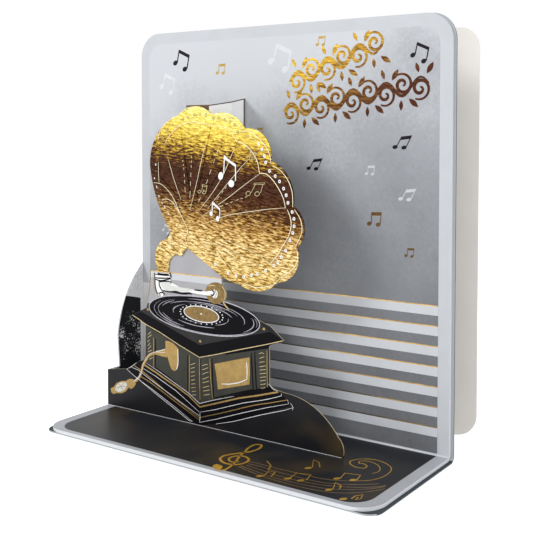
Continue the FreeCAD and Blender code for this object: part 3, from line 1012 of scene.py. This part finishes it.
cabinet_gold += [ellipse(x, z, 0.62, 0.5, 0, 14) for x, z in LID_PINS]
printed("cabinet_gold_dashes", dashes, on_scene, dash_gold, layer=3)

# Plinth: four steps drawn on black as foil bands and white pen lines that meet at the near corner.
# One more pen line runs along the fold at the scene layer's foot.
PLINTH_BANDS = [
    [(-53.9, 20.3), (-47.5, 18.1), (-41.5, 15.8), (-36.1, 13.9), (-29.3, 11.1), (-23.4, 7.5)],
    [(-23.4, 7.5), (-15.2, 10.3), (-3.9, 14.2), (4.9, 16.6), (14.9, 19.6)],
]
PLINTH_FOIL_LINES = [
    [(-59.4, 19.1), (-52.7, 16.5), (-41.5, 11), (-29.3, 5.5), (-23.6, 3.1)],
    [(-23.3, 3.3), (-10.6, 7.6), (2.7, 12.4), (11.3, 14.9), (19.2, 17.3)],
    [(-55.8, 15.1), (-49.1, 12.9), (-36.1, 7.4), (-23.6, 2.2)],
]
PLINTH_PEN_LINES = [
    [(-52.4, 21.1), (-44, 18.1), (-29.3, 12.2), (-23.5, 8.9), (-17, 11.2), (-6.1, 14.6)],
    [(-53.9, 18.6), (-47, 16.3), (-36.1, 12.1), (-23.6, 5.4)],
    [(-23.1, 5.5), (-15.2, 7.9), (-1.7, 12.7), (9.6, 15.9), (16.4, 18.4)],
    [(7, 15.2), (12.1, 16.8), (16.4, 18.4), (16.4, 19.3)],
    [(-61.2, 18.2), (-56.8, 17.5), (-47.6, 13.5), (-36.1, 8.9), (-23.6, 3.9)],
    [(-63.5, 16.9), (-59.4, 14.8), (-55.3, 13), (-47.6, 10), (-36.1, 5.1), (-27.2, 0.9)],
    [(-63.6, 16.9), (-60.7, 18.5), (-57.8, 20.5)],
    [(-55.4, 13), (-47.6, 9.3), (-37.1, 4.7), (-29.3, 1.2), (-27.2, 0.9)],
    [(-23.3, 5.2), (-23.3, 3.3), (-23.6, 1.3)],
    [(-23.6, 1.3), (-15.2, 4), (-1.7, 8.9), (9.6, 12.8), (19.7, 15.9)],
    [(19.2, 17.4), (19.7, 15.9)],
    [(-15.2, 2.1), (-6.1, 4.8), (7, 9.6), (17.6, 13.1), (21.7, 14.8)],
    [(20.5, 16.4), (21.8, 14.9), (21.3, 13.8)],
    [(10.4, 22), (12.6, 20.3), (14.6, 19.9)],
]
PLINTH = [
    (-52.8, 21.6), (-23.3, 9), (10.6, 21.2), (17, 18.6), (20.4, 15.2), (-10, 3.4), (-23.5, 0.1),
    (-27.4, 0.4), (-63.4, 16.8), (-57.5, 20.8),
]
FOOT_LINE = [(-74.9, 0.15), (42.9, 0.15)]
printed("plinth_black", [area(PLINTH)], on_scene, lid_ink, layer=1)
cabinet_gold += [stroke(line, 0.62) for line in PLINTH_BANDS] + drawn(PLINTH_FOIL_LINES, 0.36)
white_lines = [stroke(line, 0.21, taper=0.5) for line in PLINTH_PEN_LINES]
white_lines.append(stroke(FOOT_LINE, 0.12))
printed("cabinet_gold_lines", cabinet_gold, on_scene, bronze_foil, layer=3)

# Plaque, crank and its plate: flat gold foil with small white pen highlights. The crank ends in a
# pale grip with foil facets.
PLAQUE = [
    (-15.9, 25.9), (-7, 28.5), (1.4, 30.9), (1.6, 25.6), (1.4, 20.4), (-6.6, 18.1), (-14.2, 16),
    (-14.8, 21),
]
ESCUTCHEON = [
    (-41.7, 31.8), (-39.5, 31.8), (-37.5, 31.3), (-35.8, 30.3), (-34.5, 29.2), (-34.6, 26.3),
    (-34.8, 22.6), (-35.3, 20.9), (-36.8, 20), (-38.3, 20.4), (-39.4, 22.3), (-40.5, 25.2),
    (-40.9, 26.6), (-41.6, 28.8),
]
CRANK_ARM = [
    (-42, 26.6), (-44, 26.2), (-46.5, 26.1), (-49, 25.4), (-51.2, 24.1), (-53.1, 21.6),
    (-54.3, 19.8), (-55, 17.4), (-56, 15.1), (-57.9, 13.1), (-60, 11.7),
]
CRANK_MOUTH = [
    (-47, 26.5), (-44.2, 27.3), (-41.5, 28.4), (-40.4, 26.6), (-40.9, 25), (-43.5, 25.1),
    (-46.7, 25.4),
]
CRANK_GRIP = [
    (-59.4, 13.1), (-61.3, 13.2), (-63.1, 12.6), (-63.7, 11.9), (-66.7, 11.4), (-69.6, 10.1),
    (-71.3, 8.2), (-73.2, 7.2), (-72.8, 5.6), (-71.3, 5), (-70.1, 5.7), (-66.7, 6.1), (-64.1, 7.4),
    (-62.5, 9.3), (-61.1, 8.8), (-59.6, 9.8), (-58.3, 11.4),
]
GRIP_PALE = [
    (-64.7, 11.3), (-68, 10.4), (-70.1, 8.6), (-70.5, 6.9), (-68.4, 6.4), (-65.7, 7.3),
    (-63.8, 9.1), (-63.4, 10.6),
]
GRIP_FACETS = [
    [(-64.7, 11.2), (-67.4, 9), (-70, 7.1)],
    [(-68.7, 10), (-66.7, 8.7), (-66.1, 7.3)],
    [(-70.3, 8.1), (-68, 8.7), (-63.7, 9.6)],
]
PLAQUE_LIGHT = [
    [(0, 28.9), (0.3, 25.8), (0.2, 22.4)],
    [(0.3, 22.3), (-1.7, 21.2), (-4.3, 20.1), (-8.4, 19), (-12.3, 18.5)],
]
CRANK_LIGHT = [
    [(-47, 26.7), (-44.5, 27.3), (-41.7, 28.4)],
    [(-55.9, 16.3), (-56.3, 15.1), (-57.8, 13.7), (-59.2, 12.7)],
]
PLATE_LIGHT = [
    (-35.2, 29.2), (-34.8, 25.9), (-35, 22.6), (-35.7, 20.9),
]
# Grey satin ink: a pale cool shade, flat and dry beside the foil.
arm_grey = finish_material("satin_ink_arm_grey", "#d2d5d0", 0.5, mottle=0.05, grain_mm=3)
crank_line = smooth(CRANK_ARM)
crank_gold = [area(PLAQUE), area(ESCUTCHEON), area(CRANK_MOUTH), stroke(crank_line, 1.15)]
crank_gold.append(area(CRANK_GRIP))
printed("crank_and_plaque_gold", crank_gold, on_scene, bronze_foil, layer=4)
printed("crank_grip_pale", [area(GRIP_PALE)], on_scene, arm_grey, layer=5)
printed("crank_grip_facets", drawn(GRIP_FACETS, 0.22), on_scene, bronze_foil, layer=6)
white_lines += [stroke(line, 0.42, taper=0.4) for line in PLAQUE_LIGHT]
white_lines += drawn(CRANK_LIGHT, 0.3) + drawn([PLATE_LIGHT], 0.45)
white_lines.append(stroke(crank_line + (0.15, 0.4), 0.14))
printed("cabinet_white_lines", white_lines, on_scene, pen_white, layer=5)

# Record: a black disc with broken pen grooves, and a gold foil label with a white beaded rim. Its
# black is as thick as the scene card, because the disc's rim is part of the sheet's cut outline.
RECORD = (-22.2, 44.4, 28.6, 7.4)
RECORD_TILT = -1.0
LABEL = (-22.6, 44.8, 8.8, 2.9)
LABEL_TILT = -2
BEADS = (-22.6, 44.7, 11.0, 3.7)
DISC_CARD = 0.38


def record_ring(scale):
    """A ring round the record, at a share of its outer size."""
    x, z, rx, rz = RECORD
    return ellipse(x, z, rx * scale, rz * scale, RECORD_TILT, 96)


printed(
    "record_black",
    [record_ring(1.0)],
    on_scene,
    lid_ink,
    layer=-DISC_CARD / INK,
    thickness=DISC_CARD + 4 * INK,
)
rng = np.random.default_rng(4)
grooves = [stroke(record_ring(0.995), 0.36, closed=True)]
for scale in (0.95, 0.89, 0.82, 0.75, 0.68, 0.61, 0.54, 0.47):
    for _ in range(4):
        first, length = rng.integers(0, 96), rng.integers(8, 22)
        part = np.roll(record_ring(scale + rng.uniform(-0.012, 0.012)), -first, 0)[:length]
        grooves.append(stroke(part, rng.uniform(0.12, 0.26), taper=0.9))
beads = [ellipse(x, z, 0.34, 0.24, 0, 8) for x, z in ellipse(*BEADS, 0, 24)]
label_rim = [stroke(ellipse(-22.6, 44.8, 9.0, 3.05, LABEL_TILT), 0.36, closed=True)]
label_rim.append(ellipse(-22.6, 44.9, 0.4, 0.3))

# Foil label: duller and browner than the crank's. The groove pen is a pale lilac grey, dry and thin.
label_gold = finish_material(
    "stamped_foil_label_gold", "#7e6840", 0.4, metallic=0.8, mottle=0.3, grain_mm=1.5, bump=0.05
)
groove_pen = finish_material("pen_line_pale_lilac", "#b9b6c0", 0.5, mottle=0.2, grain_mm=1.2)
label = ellipse(*LABEL, LABEL_TILT)
printed("record_white_grooves", grooves, on_scene, groove_pen, layer=4)
printed("record_white_beads", beads, on_scene, pen_white, layer=4)
printed("record_gold_label", [label], on_scene, label_gold, layer=4)
printed("record_label_rim", label_rim, on_scene, pen_white, layer=5)

# Ground behind the tone arm: part of the scene layer, printed in the wall's grey and with its first
# stripe and gold line, so that it seems cut away.
GROUND = [
    (-51.4, 46.2), (-50.9, 48.6), (-50.3, 52.6), (-49.7, 59.8), (-45.2, 60.3), (-44.6, 66),
    (-38, 77), (-20, 66.5), (-12.3, 61.8), (-12.3, 55), (-16, 52), (-30, 51.2), (-40, 49.4),
    (-46, 47.2),
]
GROUND_LEFT, GROUND_RIGHT = -49.8, -12.3


def ground_band(left_low, right_low, high):
    """A band across the ground, whose foot may slope."""
    return area(
        [(GROUND_LEFT, left_low), (GROUND_RIGHT, right_low), (GROUND_RIGHT, high), (GROUND_LEFT, high)]
    )


ground_ink = finish_material("satin_ink_ground_grey", "#a3a2a6", 0.55, mottle=0.06, grain_mm=8)
ground_stripe = ground_band(57.2, 57.0, 59.7)
ground_line = ground_band(59.7, 59.7, 60.1)
printed("tone_arm_grey_ground", [area(GROUND)], on_scene, ground_ink)
printed("tone_arm_pale_stripe", [ground_stripe], on_scene, pale_ink, layer=1)
printed("tone_arm_gold_line", [ground_line], on_scene, line_gold, layer=1)

# Tone arm: white ink with black pen outlines and a grey shade along its top, a ringed collar below
# the elbow, and a foil sound box with its needle.
TONE_ARM = [
    (-47.2, 59.2), (-39.1, 59.8), (-38.6, 56.1), (-33.8, 54.6), (-28.8, 54.4), (-23.9, 54.2),
    (-20.5, 54.1), (-17.1, 54.7), (-16.3, 54.2), (-16.3, 53.4), (-17.1, 52.8), (-19.8, 52.6),
    (-23.9, 52.7), (-28.8, 53), (-33.8, 52.5), (-39.1, 52.3), (-43, 52.5), (-42.2, 50.9),
    (-43.3, 49.7), (-45.2, 49.9), (-46.5, 51.8), (-47.2, 54.5),
]
ARM_SHADE = [
    (-44.6, 55.6), (-39.1, 56.1), (-38.4, 54.8), (-33.8, 54.6), (-26, 54.2), (-29.5, 53.2),
    (-33.8, 52.7), (-39.1, 52.4), (-42.8, 52.9),
]
ARM_PEN_LINES = [
    [(-47.5, 59.2), (-47.2, 56.5), (-47.1, 54), (-46.3, 51.6), (-45.4, 50.6)],
    [(-45.7, 59.3), (-43.8, 59), (-39.5, 59.3)],
    [(-39.3, 59.9), (-38.6, 59.1), (-38.4, 58.1)],
    [(-47.1, 58.7), (-43.8, 58.7), (-39.1, 58.7)],
    [(-47.1, 57.2), (-43.9, 57.3), (-38.6, 57.8)],
    [(-47, 56.6), (-43.9, 56.3), (-38.6, 57.5)],
    [(-45, 55.7), (-42, 56.2), (-38.8, 56.4)],
    [(-38.6, 56.4), (-38.5, 55.6)],
    [(-45, 55.8), (-44.7, 54.2), (-43.7, 52.7), (-42.7, 51.9)],
    [(-45.2, 50.9), (-43.9, 51.4), (-42.7, 51.4), (-42.1, 50.6)],
    [(-44.7, 50.6), (-44.3, 50)],
    [(-42.6, 52.4), (-40.2, 52.2), (-36.6, 52.2), (-33.1, 52.1), (-28.8, 52.7), (-27.4, 52.3)],
    [(-38.8, 52.2), (-35.9, 52.6), (-32.3, 52.2), (-28.1, 52.5)],
    [(-26, 54.2), (-23.9, 54.2), (-21.9, 54.2)],
    [(-16.9, 54.8), (-16.1, 54.5), (-15.9, 53.9), (-16.3, 53.2), (-16.9, 52.9), (-17.6, 53.3)],
]
SOUND_BOX = [
    (-15.2, 58.2), (-12.7, 57.8), (-11.3, 56.6), (-10.5, 55.2), (-10.2, 53.6), (-10.8, 51.9),
    (-12.1, 50.6), (-14.1, 49.8), (-16.4, 49.7), (-18.3, 50.5), (-19.5, 51.8), (-20.2, 52.5),
    (-20.4, 54.1), (-19.7, 55.9), (-18.1, 57.4),
]
SOUND_LIGHT = [
    [(-16.1, 55.6), (-15.3, 54.9), (-14.9, 53.6), (-15.4, 52.3), (-16.4, 51.7)],
    [(-18.8, 56.4), (-17.1, 56.9), (-15.4, 56.7)],
]
SOUND_RIM = [
    (-11.9, 57), (-10.9, 55.7), (-10.4, 54.4), (-10.5, 52.7), (-11.1, 51.4),
]
NEEDLE = [
    (-11.5, 50.8), (-10.6, 49.8), (-9.7, 49), (-8.6, 48.1),
]
ARM_DOTS = [
    (-48.6, 58.5), (-48.5, 57.6), (-48.6, 56.6), (-48.7, 55.5), (-48.8, 54.4), (-48.7, 53.3),
    (-48.4, 52.2), (-47.9, 51.3), (-47.1, 50.4), (-46.4, 49.6),
]
SOUND_MIDDLE = [(-16.4, 54.9), (-14.6, 54.9), (-14.2, 53.4), (-15.0, 52.0), (-16.6, 52.2)]
sound_box = [smooth(SOUND_BOX, 4, closed=True), stroke(NEEDLE, 0.7)]
sound_middle = smooth(SOUND_MIDDLE, 4, closed=True)
sound_lights = drawn(SOUND_LIGHT, 0.3) + drawn([SOUND_RIM, NEEDLE], 0.34)
arm_dots = [ellipse(x, z, 0.22, 0.4, 0, 8) for x, z in ARM_DOTS]
printed("tone_arm_white", [area(TONE_ARM)], on_scene, white_ink, layer=7)
printed("tone_arm_grey_shade", [area(ARM_SHADE)], on_scene, arm_grey, layer=8)
printed("sound_box_gold", sound_box, on_scene, label_gold, layer=5)
printed("sound_box_pale", [sound_middle], on_scene, white_ink, layer=6)
printed("sound_box_lights", sound_lights, on_scene, dash_gold, layer=6)
printed("tone_arm_black_lines", drawn(ARM_PEN_LINES, 0.55), on_scene, lid_ink, layer=9)
printed("tone_arm_gold_dots", arm_dots, on_scene, dash_gold, layer=5)


# Horn: board covered in crumpled gold foil, die-cut in scallops and embossed with ribs, glued on the
# scene layer. Its colour holds a painted reflection: a lit yellow top, a brown band and mid gold
# below, in streaks of painted crinkle shade.
horn_gold = gold_foil(
    "embossed_foil_horn_gold_painted_reflection",
    direction=(0.11, 0.0, 1.0),
    span=(0.0558, 0.1278),
    stops=[
        (0.0, "#b89a5a"),
        (0.08, "#ead696"),
        (0.15, "#d2b878"),
        (0.22, "#f8e8b6"),
        (0.29, "#d0b276"),
        (0.35, "#c6a569"),
        (0.42, "#7d5c39"),
        (0.47, "#523628"),
        (0.67, "#442c25"),
        (0.72, "#7a572c"),
        (0.78, "#cfae48"),
        (0.86, "#eed962"),
        (1.0, "#fbf49a"),
    ],
    roughness=0.29,
    streak_mm=2.9,
    drift=0.15,
    crinkle_shade=1.0,
)
dress("horn", horn_gold)
RIB_HEIGHT = 0.25
horn_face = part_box("horn")[0][1] + RIB_HEIGHT * MM


def on_horn(p):
    """Horn print: X along the card, Z above its floor, out to the front of the foil between ribs."""
    return np.stack([p[:, 0] * MM, horn_face - p[:, 2] * MM, floor_top + p[:, 1] * MM], 1)


# Horn drawing: ribs, scallops, rings and dots round the mouth and small notes, printed on the foil
# in cream and grey pen lines. Those over the ribs lie as high as the ribs do.
HORN_RIBS = [
    [(-44.6, 104.7), (-44.6, 100.6), (-44.3, 96.5)],
    [(-39.3, 106.1), (-38, 102.6), (-36.1, 97.7), (-32.4, 89.8)],
    [(-19.7, 112.5), (-21.1, 108.2), (-22.5, 103.3), (-24.5, 96.3), (-27.8, 86)],
    [(-5.1, 111.4), (-7.8, 106.2), (-11.1, 100.1), (-16.1, 93.5), (-22.6, 86.5)],
    [(1.1, 106.2), (-1.9, 103.8), (-4.5, 101.2), (-10, 95.9), (-18.3, 87.3)],
    [(6.6, 101.2), (2.4, 98.7), (-2.9, 95.3), (-8.9, 91.4), (-13.3, 88.8), (-21.7, 83.6)],
    [(18.6, 89), (11.8, 88.3), (5, 87.3), (-2.9, 86), (-10, 84.5), (-20, 81.1)],
    [(12.8, 67.1), (5.6, 70.7), (-2.9, 73.5), (-14.4, 75.8)],
    [(8.2, 65.9), (1.3, 68.3), (-6.7, 71.1), (-16.7, 74.1)],
    [(3.2, 65.1), (-2.4, 67.2), (-8.9, 69.7), (-18.9, 74.2)],
    [(-4.6, 64), (-11.1, 67.3), (-17.8, 71.2), (-22.3, 74.4)],
]
HORN_DASHED_RIBS = [
    [(-31.5, 105.8), (-30.8, 100.9), (-30.2, 93)],
    [(-26.8, 107.6), (-27.2, 101.5), (-27.8, 90.9)],
    [(-13.3, 110.4), (-16.6, 103), (-20, 95.5), (-23.4, 89.3)],
    [(-4.5, 98.6), (-8.9, 96.1), (-12.2, 92.8), (-16.6, 87.8)],
    [(0.8, 92.5), (-5.6, 90.5), (-12.7, 88)],
]
HORN_RIM_CURVES = [
    [(-47.2, 96.4), (-42.9, 95.7), (-38.6, 92.7), (-35.7, 89.2), (-33.3, 84.8), (-30.4, 80.5),
     (-29, 77.5), (-30.4, 74.7), (-29, 71.3)],
    [(-42.9, 89.3), (-39.9, 89.9), (-36.9, 88.7), (-34.5, 86.1), (-33.2, 84.6)],
]
HORN_INNER_LOBES = [
    [(-41.3, 111.9), (-38.6, 115.5), (-34.4, 118.7), (-29.1, 120.6), (-23.9, 121), (-18.8, 120.1),
     (-16.3, 119.3)],
    [(-16.3, 119.3), (-12.2, 119.3), (-8.9, 118.2), (-6.2, 116), (-4.5, 113.7)],
    [(-4.5, 113.7), (-1.3, 112.7), (1.9, 110.6), (4.5, 107.7), (5.8, 105.2), (6.6, 101.4)],
    [(6.7, 101.4), (9.7, 101.3), (12.8, 99.1), (15.8, 95.5), (17.8, 91.9), (18.5, 89)],
    [(19.4, 88.4), (20.9, 85), (21, 81.7), (19.9, 78.4)],
    [(19.9, 78.4), (17.4, 74.9), (14.8, 71), (11.8, 67.9)],
]
HORN_OUTER_LOBES = [
    [(-44.9, 113.3), (-43.9, 116.9), (-40.3, 120.5), (-34.4, 123.4)],
    [(-34.4, 123.4), (-30.1, 126), (-27.8, 126.7), (-20.9, 126.2), (-17.4, 124.2)],
    [(-17.3, 124.2), (-14.4, 123.8), (-10, 123.3), (-5.6, 121.4), (-1.4, 117.7)],
    [(-1.2, 117.5), (2.9, 116.8), (7.1, 113.8), (10.2, 110.7), (11.6, 107.4), (11.9, 105.1)],
    [(12.8, 104.4), (16.3, 102.7), (19.6, 99.3), (21.4, 95.4), (21.8, 92.2), (21.8, 89.4)],
    [(22.6, 88.6), (24.9, 85.6), (25.9, 82.8), (25.6, 79.6), (23.1, 74.9)],
    [(23.7, 73.7), (24.1, 70.5), (22.8, 67.5), (19.9, 65), (16.1, 62.9)],
    [(16, 62.5), (12.8, 59.8), (9.2, 58.8), (5, 58.2), (-0.8, 59.2)],
]
HORN_RINGS = [
    (-42.5, 114.6), (-40.3, 117.5), (-37.1, 119.8), (-31.7, 122), (-29.1, 122.8), (-25.6, 123.9),
    (-22.8, 123.9), (-19.8, 123.5), (-15.9, 122.2), (-13.1, 122.4), (-10.1, 121.7), (-7.8, 120.9),
    (-5.4, 119.7), (-4, 116.9), (-2.1, 117.1), (0.7, 115.4), (3.4, 114.4),
]
HORN_DOTS = [
    (5.9, 112.6), (7.5, 110.5), (8.7, 108), (9.3, 105.6), (11.1, 102.5), (13.7, 100.6),
    (15.7, 98.7), (17.5, 96.1), (18.7, 93.7), (19.5, 90.9), (21.4, 87.6), (22.2, 85.1),
    (22.3, 82.4), (21.7, 79.9), (20.4, 77.1), (18.5, 73.1), (16.6, 70.6), (15, 68.4), (13.2, 67.1),
    (9.4, 64.9), (5.5, 63.3), (2.6, 62.5), (-1.1, 61.7), (-4.8, 61.7), (-8.6, 62.5), (-15.0, 65.4),
]
HORN_RIM_DASHES = [
    [(-46.2, 104.2), (-46.3, 103.2)],
    [(-46.1, 101.2), (-46.2, 100.1)],
    [(-47.1, 98.5), (-47, 97.7)],
    [(-46, 95.1), (-45.6, 94)],
    [(-44.8, 91.3), (-44.3, 90.4)],
    [(-43, 88.4), (-42.7, 87.7)],
    [(-41.6, 86.8), (-41.2, 86.1)],
    [(-39.5, 84.2), (-39.1, 83.5)],
]
BIG_BEAM = [(-10.4, 108.2), (-7.8, 106.2), (-4.7, 104.7), (-4.7, 103.5), (-7.5, 105.1), (-10.2, 106.6)]
BIG_STEMS = [[(-10.6, 101.0), (-10.2, 107.9)], [(-4.8, 98.6), (-4.8, 104.6)]]
SMALL_BEAM = [(-16.4, 90.0), (-14.4, 88.7), (-12.5, 87.4), (-12.5, 86.5), (-14.4, 87.8), (-16.3, 89.0)]
SMALL_STEMS = [[(-16.4, 85.4), (-16.2, 89.6)], [(-12.6, 83.7), (-12.5, 86.9)]]
OUTLINED_NOTES = [
    (
        [(1.3, 93.7), (5.5, 93.7)],
        1.1,
        [[(2.7, 94.0), (4.8, 97.4)], [(7.1, 94.0), (8.2, 97.3)]],
        [(4.2, 97.7), (9.1, 98.0), (8.8, 97.4), (4.0, 97.1)],
    ),
    (
        [(-22.9, 93.5), (-20.3, 93.3)],
        0.75,
        [[(-21.8, 93.7), (-21.1, 96.2)], [(-19.3, 93.6), (-19.1, 95.8)]],
        [(-21.4, 96.4), (-18.8, 96.0), (-19.0, 95.6), (-21.5, 95.8)],
    ),
    (
        [(1.4, 107.2), (3.7, 107.0)],
        0.7,
        [[(2.1, 107.4), (2.5, 109.5)], [(4.5, 107.3), (5.0, 109.0)]],
        [(2.3, 109.8), (5.2, 109.1), (5.1, 108.7), (2.3, 109.3)],
    ),
]
FOIL_LAYER = 1
RIB_LAYER = 9
NOTE_LAYER = 10


def dashed(line, parts=6):
    """A pen line broken in short dashes."""
    path = smooth(line, 12)
    cuts = np.linspace(0, len(path) - 1, 2 * parts).astype(int)
    return [stroke(path[a : b + 1], 0.16) for a, b in zip(cuts[::2], cuts[1::2])]


# Opaque pen inks, dry and flat on the bright foil: cream for the lines that stand out, and greyer
# ones where the photographed line is faint or lies in the foil's glare.
horn_pen = finish_material("pen_line_cream", "#f1e6c4", 0.5, mottle=0.08, grain_mm=1.5)
horn_faint = finish_material("pen_line_faint_grey", "#c9bd8e", 0.5, mottle=0.1, grain_mm=1.5)
horn_ring_grey = finish_material("pen_line_ring_grey", "#a39b6c", 0.5, mottle=0.1, grain_mm=1.5)
rib_lines = drawn(HORN_RIBS[:7], 0.2, taper=0.5)
rib_lines += [shape for line in HORN_DASHED_RIBS for shape in dashed(line)]
rib_lines += drawn(HORN_RIM_CURVES, 0.24)
faint_ribs = drawn(HORN_RIBS[7:], 0.16)
scallops = drawn(HORN_INNER_LOBES[:2] + HORN_OUTER_LOBES[:3], 0.22)
scallops += drawn(HORN_INNER_LOBES[2:], 0.34) + drawn(HORN_OUTER_LOBES[3:], 0.3)
rings = [stroke(ellipse(x, z, 0.52, 0.56, 0, 12), 0.26, closed=True) for x, z in HORN_RINGS]
dots = [stroke(ellipse(x, z, 0.42, 0.48, 0, 12), 0.42, closed=True) for x, z in HORN_DOTS]
dots += drawn(HORN_RIM_DASHES, 0.4)
printed("horn_rib_lines", rib_lines, on_horn, horn_pen, layer=RIB_LAYER)
printed("horn_faint_ribs", faint_ribs, on_horn, horn_faint, layer=RIB_LAYER)
printed("horn_scallops", scallops, on_horn, horn_pen, layer=RIB_LAYER)
printed("horn_rings", rings, on_horn, horn_ring_grey, layer=FOIL_LAYER)
printed("horn_dots", dots, on_horn, pen_white, layer=FOIL_LAYER)

white_notes = [ellipse(-12.1, 100.0, 1.2, 1.55, -15, 20), ellipse(-6.9, 97.2, 1.4, 1.4, 0, 20)]
white_notes += [stroke(line, 0.45) for line in BIG_STEMS] + [area(BIG_BEAM)]
white_notes += [ellipse(-16.9, 85.1, 0.8, 0.9, 0, 20), ellipse(-13.6, 83.3, 0.8, 1.05, 0, 20)]
white_notes += [stroke(line, 0.36) for line in SMALL_STEMS] + [area(SMALL_BEAM)]
printed("horn_white_notes", white_notes, on_horn, white_ink, layer=NOTE_LAYER)
outlined = []
for heads, size, stems, beam in OUTLINED_NOTES:
    outlined += [stroke(ellipse(x, z, size, size * 0.75, 15, 16), 0.2, closed=True) for x, z in heads]
    outlined += [stroke(line, 0.2) for line in stems] + [stroke(beam, 0.2, closed=True)]
printed("horn_outlined_notes", outlined, on_horn, horn_faint, layer=NOTE_LAYER)

# Elbow: part of the horn's foil board, where it bends down to the tone arm. Five thin umber pen
# lines round it stand for its rings.
ELBOW_RINGS = [
    [(-38.4, 75.7), (-35.6, 73.0), (-30.6, 71.2)],
    [(-41.0, 73.1), (-38.0, 71.0), (-33.4, 68.4)],
    [(-44.6, 71.2), (-40.6, 68.8), (-37.4, 66.7)],
    [(-45.8, 67.4), (-42.0, 66.2), (-39.2, 65.0)],
    [(-45.8, 63.6), (-42.4, 63.0), (-39.6, 62.8)],
]
ring_brown = finish_material("pen_line_umber", "#5f4420", 0.5, mottle=0.2, grain_mm=1.5)
elbow_rings = [stroke(smooth(line), 0.2, taper=0.5) for line in ELBOW_RINGS]
printed("elbow_dark_rings", elbow_rings, on_horn, ring_brown, layer=FOIL_LAYER)


# Studio: a pale paper floor, a white surround, a small strong lamp at the front left that throws the
# soft shadows, and a large weaker one at the right that fills them.
FLOOR_HALF = 6.0
FLOOR_DROP = 0.2 * MM
FLOOR_LIFT = 0.55
SURROUND_LIGHT = 0.55


def seen_directly(tree):
    """One for rays from the camera, in reflections and through glass, which see plain white."""
    path = add_node(tree, "ShaderNodeLightPath")
    seen = path.outputs["Is Camera Ray"]
    for kind in ("Is Glossy Ray", "Is Transmission Ray"):
        either = {0: seen, 1: path.outputs[kind]}
        seen = add_node(tree, "ShaderNodeMath", either, operation="MAXIMUM").outputs[0]
    return seen


corners = [(-1, -1), (1, -1), (1, 1), (-1, 1)]
floor_mesh = bpy.data.meshes.new("floor")
floor_mesh.from_pydata([(x * FLOOR_HALF, y * FLOOR_HALF, 0) for x, y in corners], [], [(0, 1, 2, 3)])
floor = bpy.data.objects.new("floor", floor_mesh)
floor.location.z = -FLOOR_DROP
bpy.context.scene.collection.objects.link(floor)
# Matt white paper: it takes the card's shadow, and a little light of its own keeps it white.
paper = bpy.data.materials.new("paper_sweep_white")
paper.use_nodes = True
tree = paper.node_tree
shader = tree.nodes["Principled BSDF"]
lift = add_node(tree, "ShaderNodeMath", {0: seen_directly(tree), 1: FLOOR_LIFT}, operation="MULTIPLY")
shader.inputs["Base Color"].default_value = linear("#ffffff")
shader.inputs["Roughness"].default_value = 0.9
shader.inputs["Emission Color"].default_value = linear("#ffffff")
tree.links.new(lift.outputs[0], shader.inputs["Emission Strength"])
floor_mesh.materials.append(paper)


def lamp(name, place, side, power):
    """A square soft lamp aimed at the card's middle, with its side in metres and its power in watts."""
    data = bpy.data.lights.new(name, "AREA")
    data.shape = "RECTANGLE"
    data.size, data.size_y = side, side
    data.energy = power
    made = bpy.data.objects.new(name, data)
    made.location = place
    aim = Vector((0, 0, 0.08)) - Vector(place)
    made.rotation_euler = aim.to_track_quat("-Z", "Y").to_euler()
    bpy.context.scene.collection.objects.link(made)


lamp("softbox_left", (-0.75, -0.85, 0.85), side=0.35, power=9.0)
lamp("softbox_right", (1.0, -0.55, 0.5), side=0.9, power=6.6)

# The surround lights the card evenly and weakly, and shows as plain white.
world = bpy.data.worlds.new("white_surround")
bpy.context.scene.world = world
world.use_nodes = True
sky = world.node_tree
background = sky.nodes["Background"]
strength = add_node(
    sky, "ShaderNodeMapRange", {"Value": seen_directly(sky), "To Min": SURROUND_LIGHT, "To Max": 1.0}
)
background.inputs["Color"].default_value = linear("#ffffff")
sky.links.new(strength.outputs[0], background.inputs["Strength"])

# Camera: a long lens to the right of the card, at about two thirds of its height. Its numbers come
# from fitting the card's edges in the photograph.
IMAGE = 533
FOCAL_PIXELS = 903.86
CENTRE = (318.39, 167.75)
CAMERA_PLACE = (0.2101, wall_front - 0.2949, floor_top + 0.1158)
yaw, pitch, roll = math.radians(32.99), math.radians(-2.05), math.radians(0.17)
forward = Vector((-math.sin(yaw) * math.cos(pitch), math.cos(yaw) * math.cos(pitch), math.sin(pitch)))
level = Vector((math.cos(yaw), math.sin(yaw), 0))
upright = level.cross(forward)
right = level * math.cos(roll) + upright * math.sin(roll)
up = upright * math.cos(roll) - level * math.sin(roll)
lens = bpy.data.cameras.new("camera")
lens.sensor_width = 36.0
lens.lens = FOCAL_PIXELS / IMAGE * lens.sensor_width
lens.shift_x = (IMAGE / 2 - CENTRE[0]) / IMAGE
lens.shift_y = (CENTRE[1] - IMAGE / 2) / IMAGE
camera = bpy.data.objects.new("camera", lens)
turn = Matrix((right, up, -forward)).transposed().to_4x4()
turn.translation = Vector(CAMERA_PLACE)
camera.matrix_world = turn
bpy.context.scene.collection.objects.link(camera)
bpy.context.scene.camera = camera
bpy.context.scene.view_settings.view_transform = "Standard"
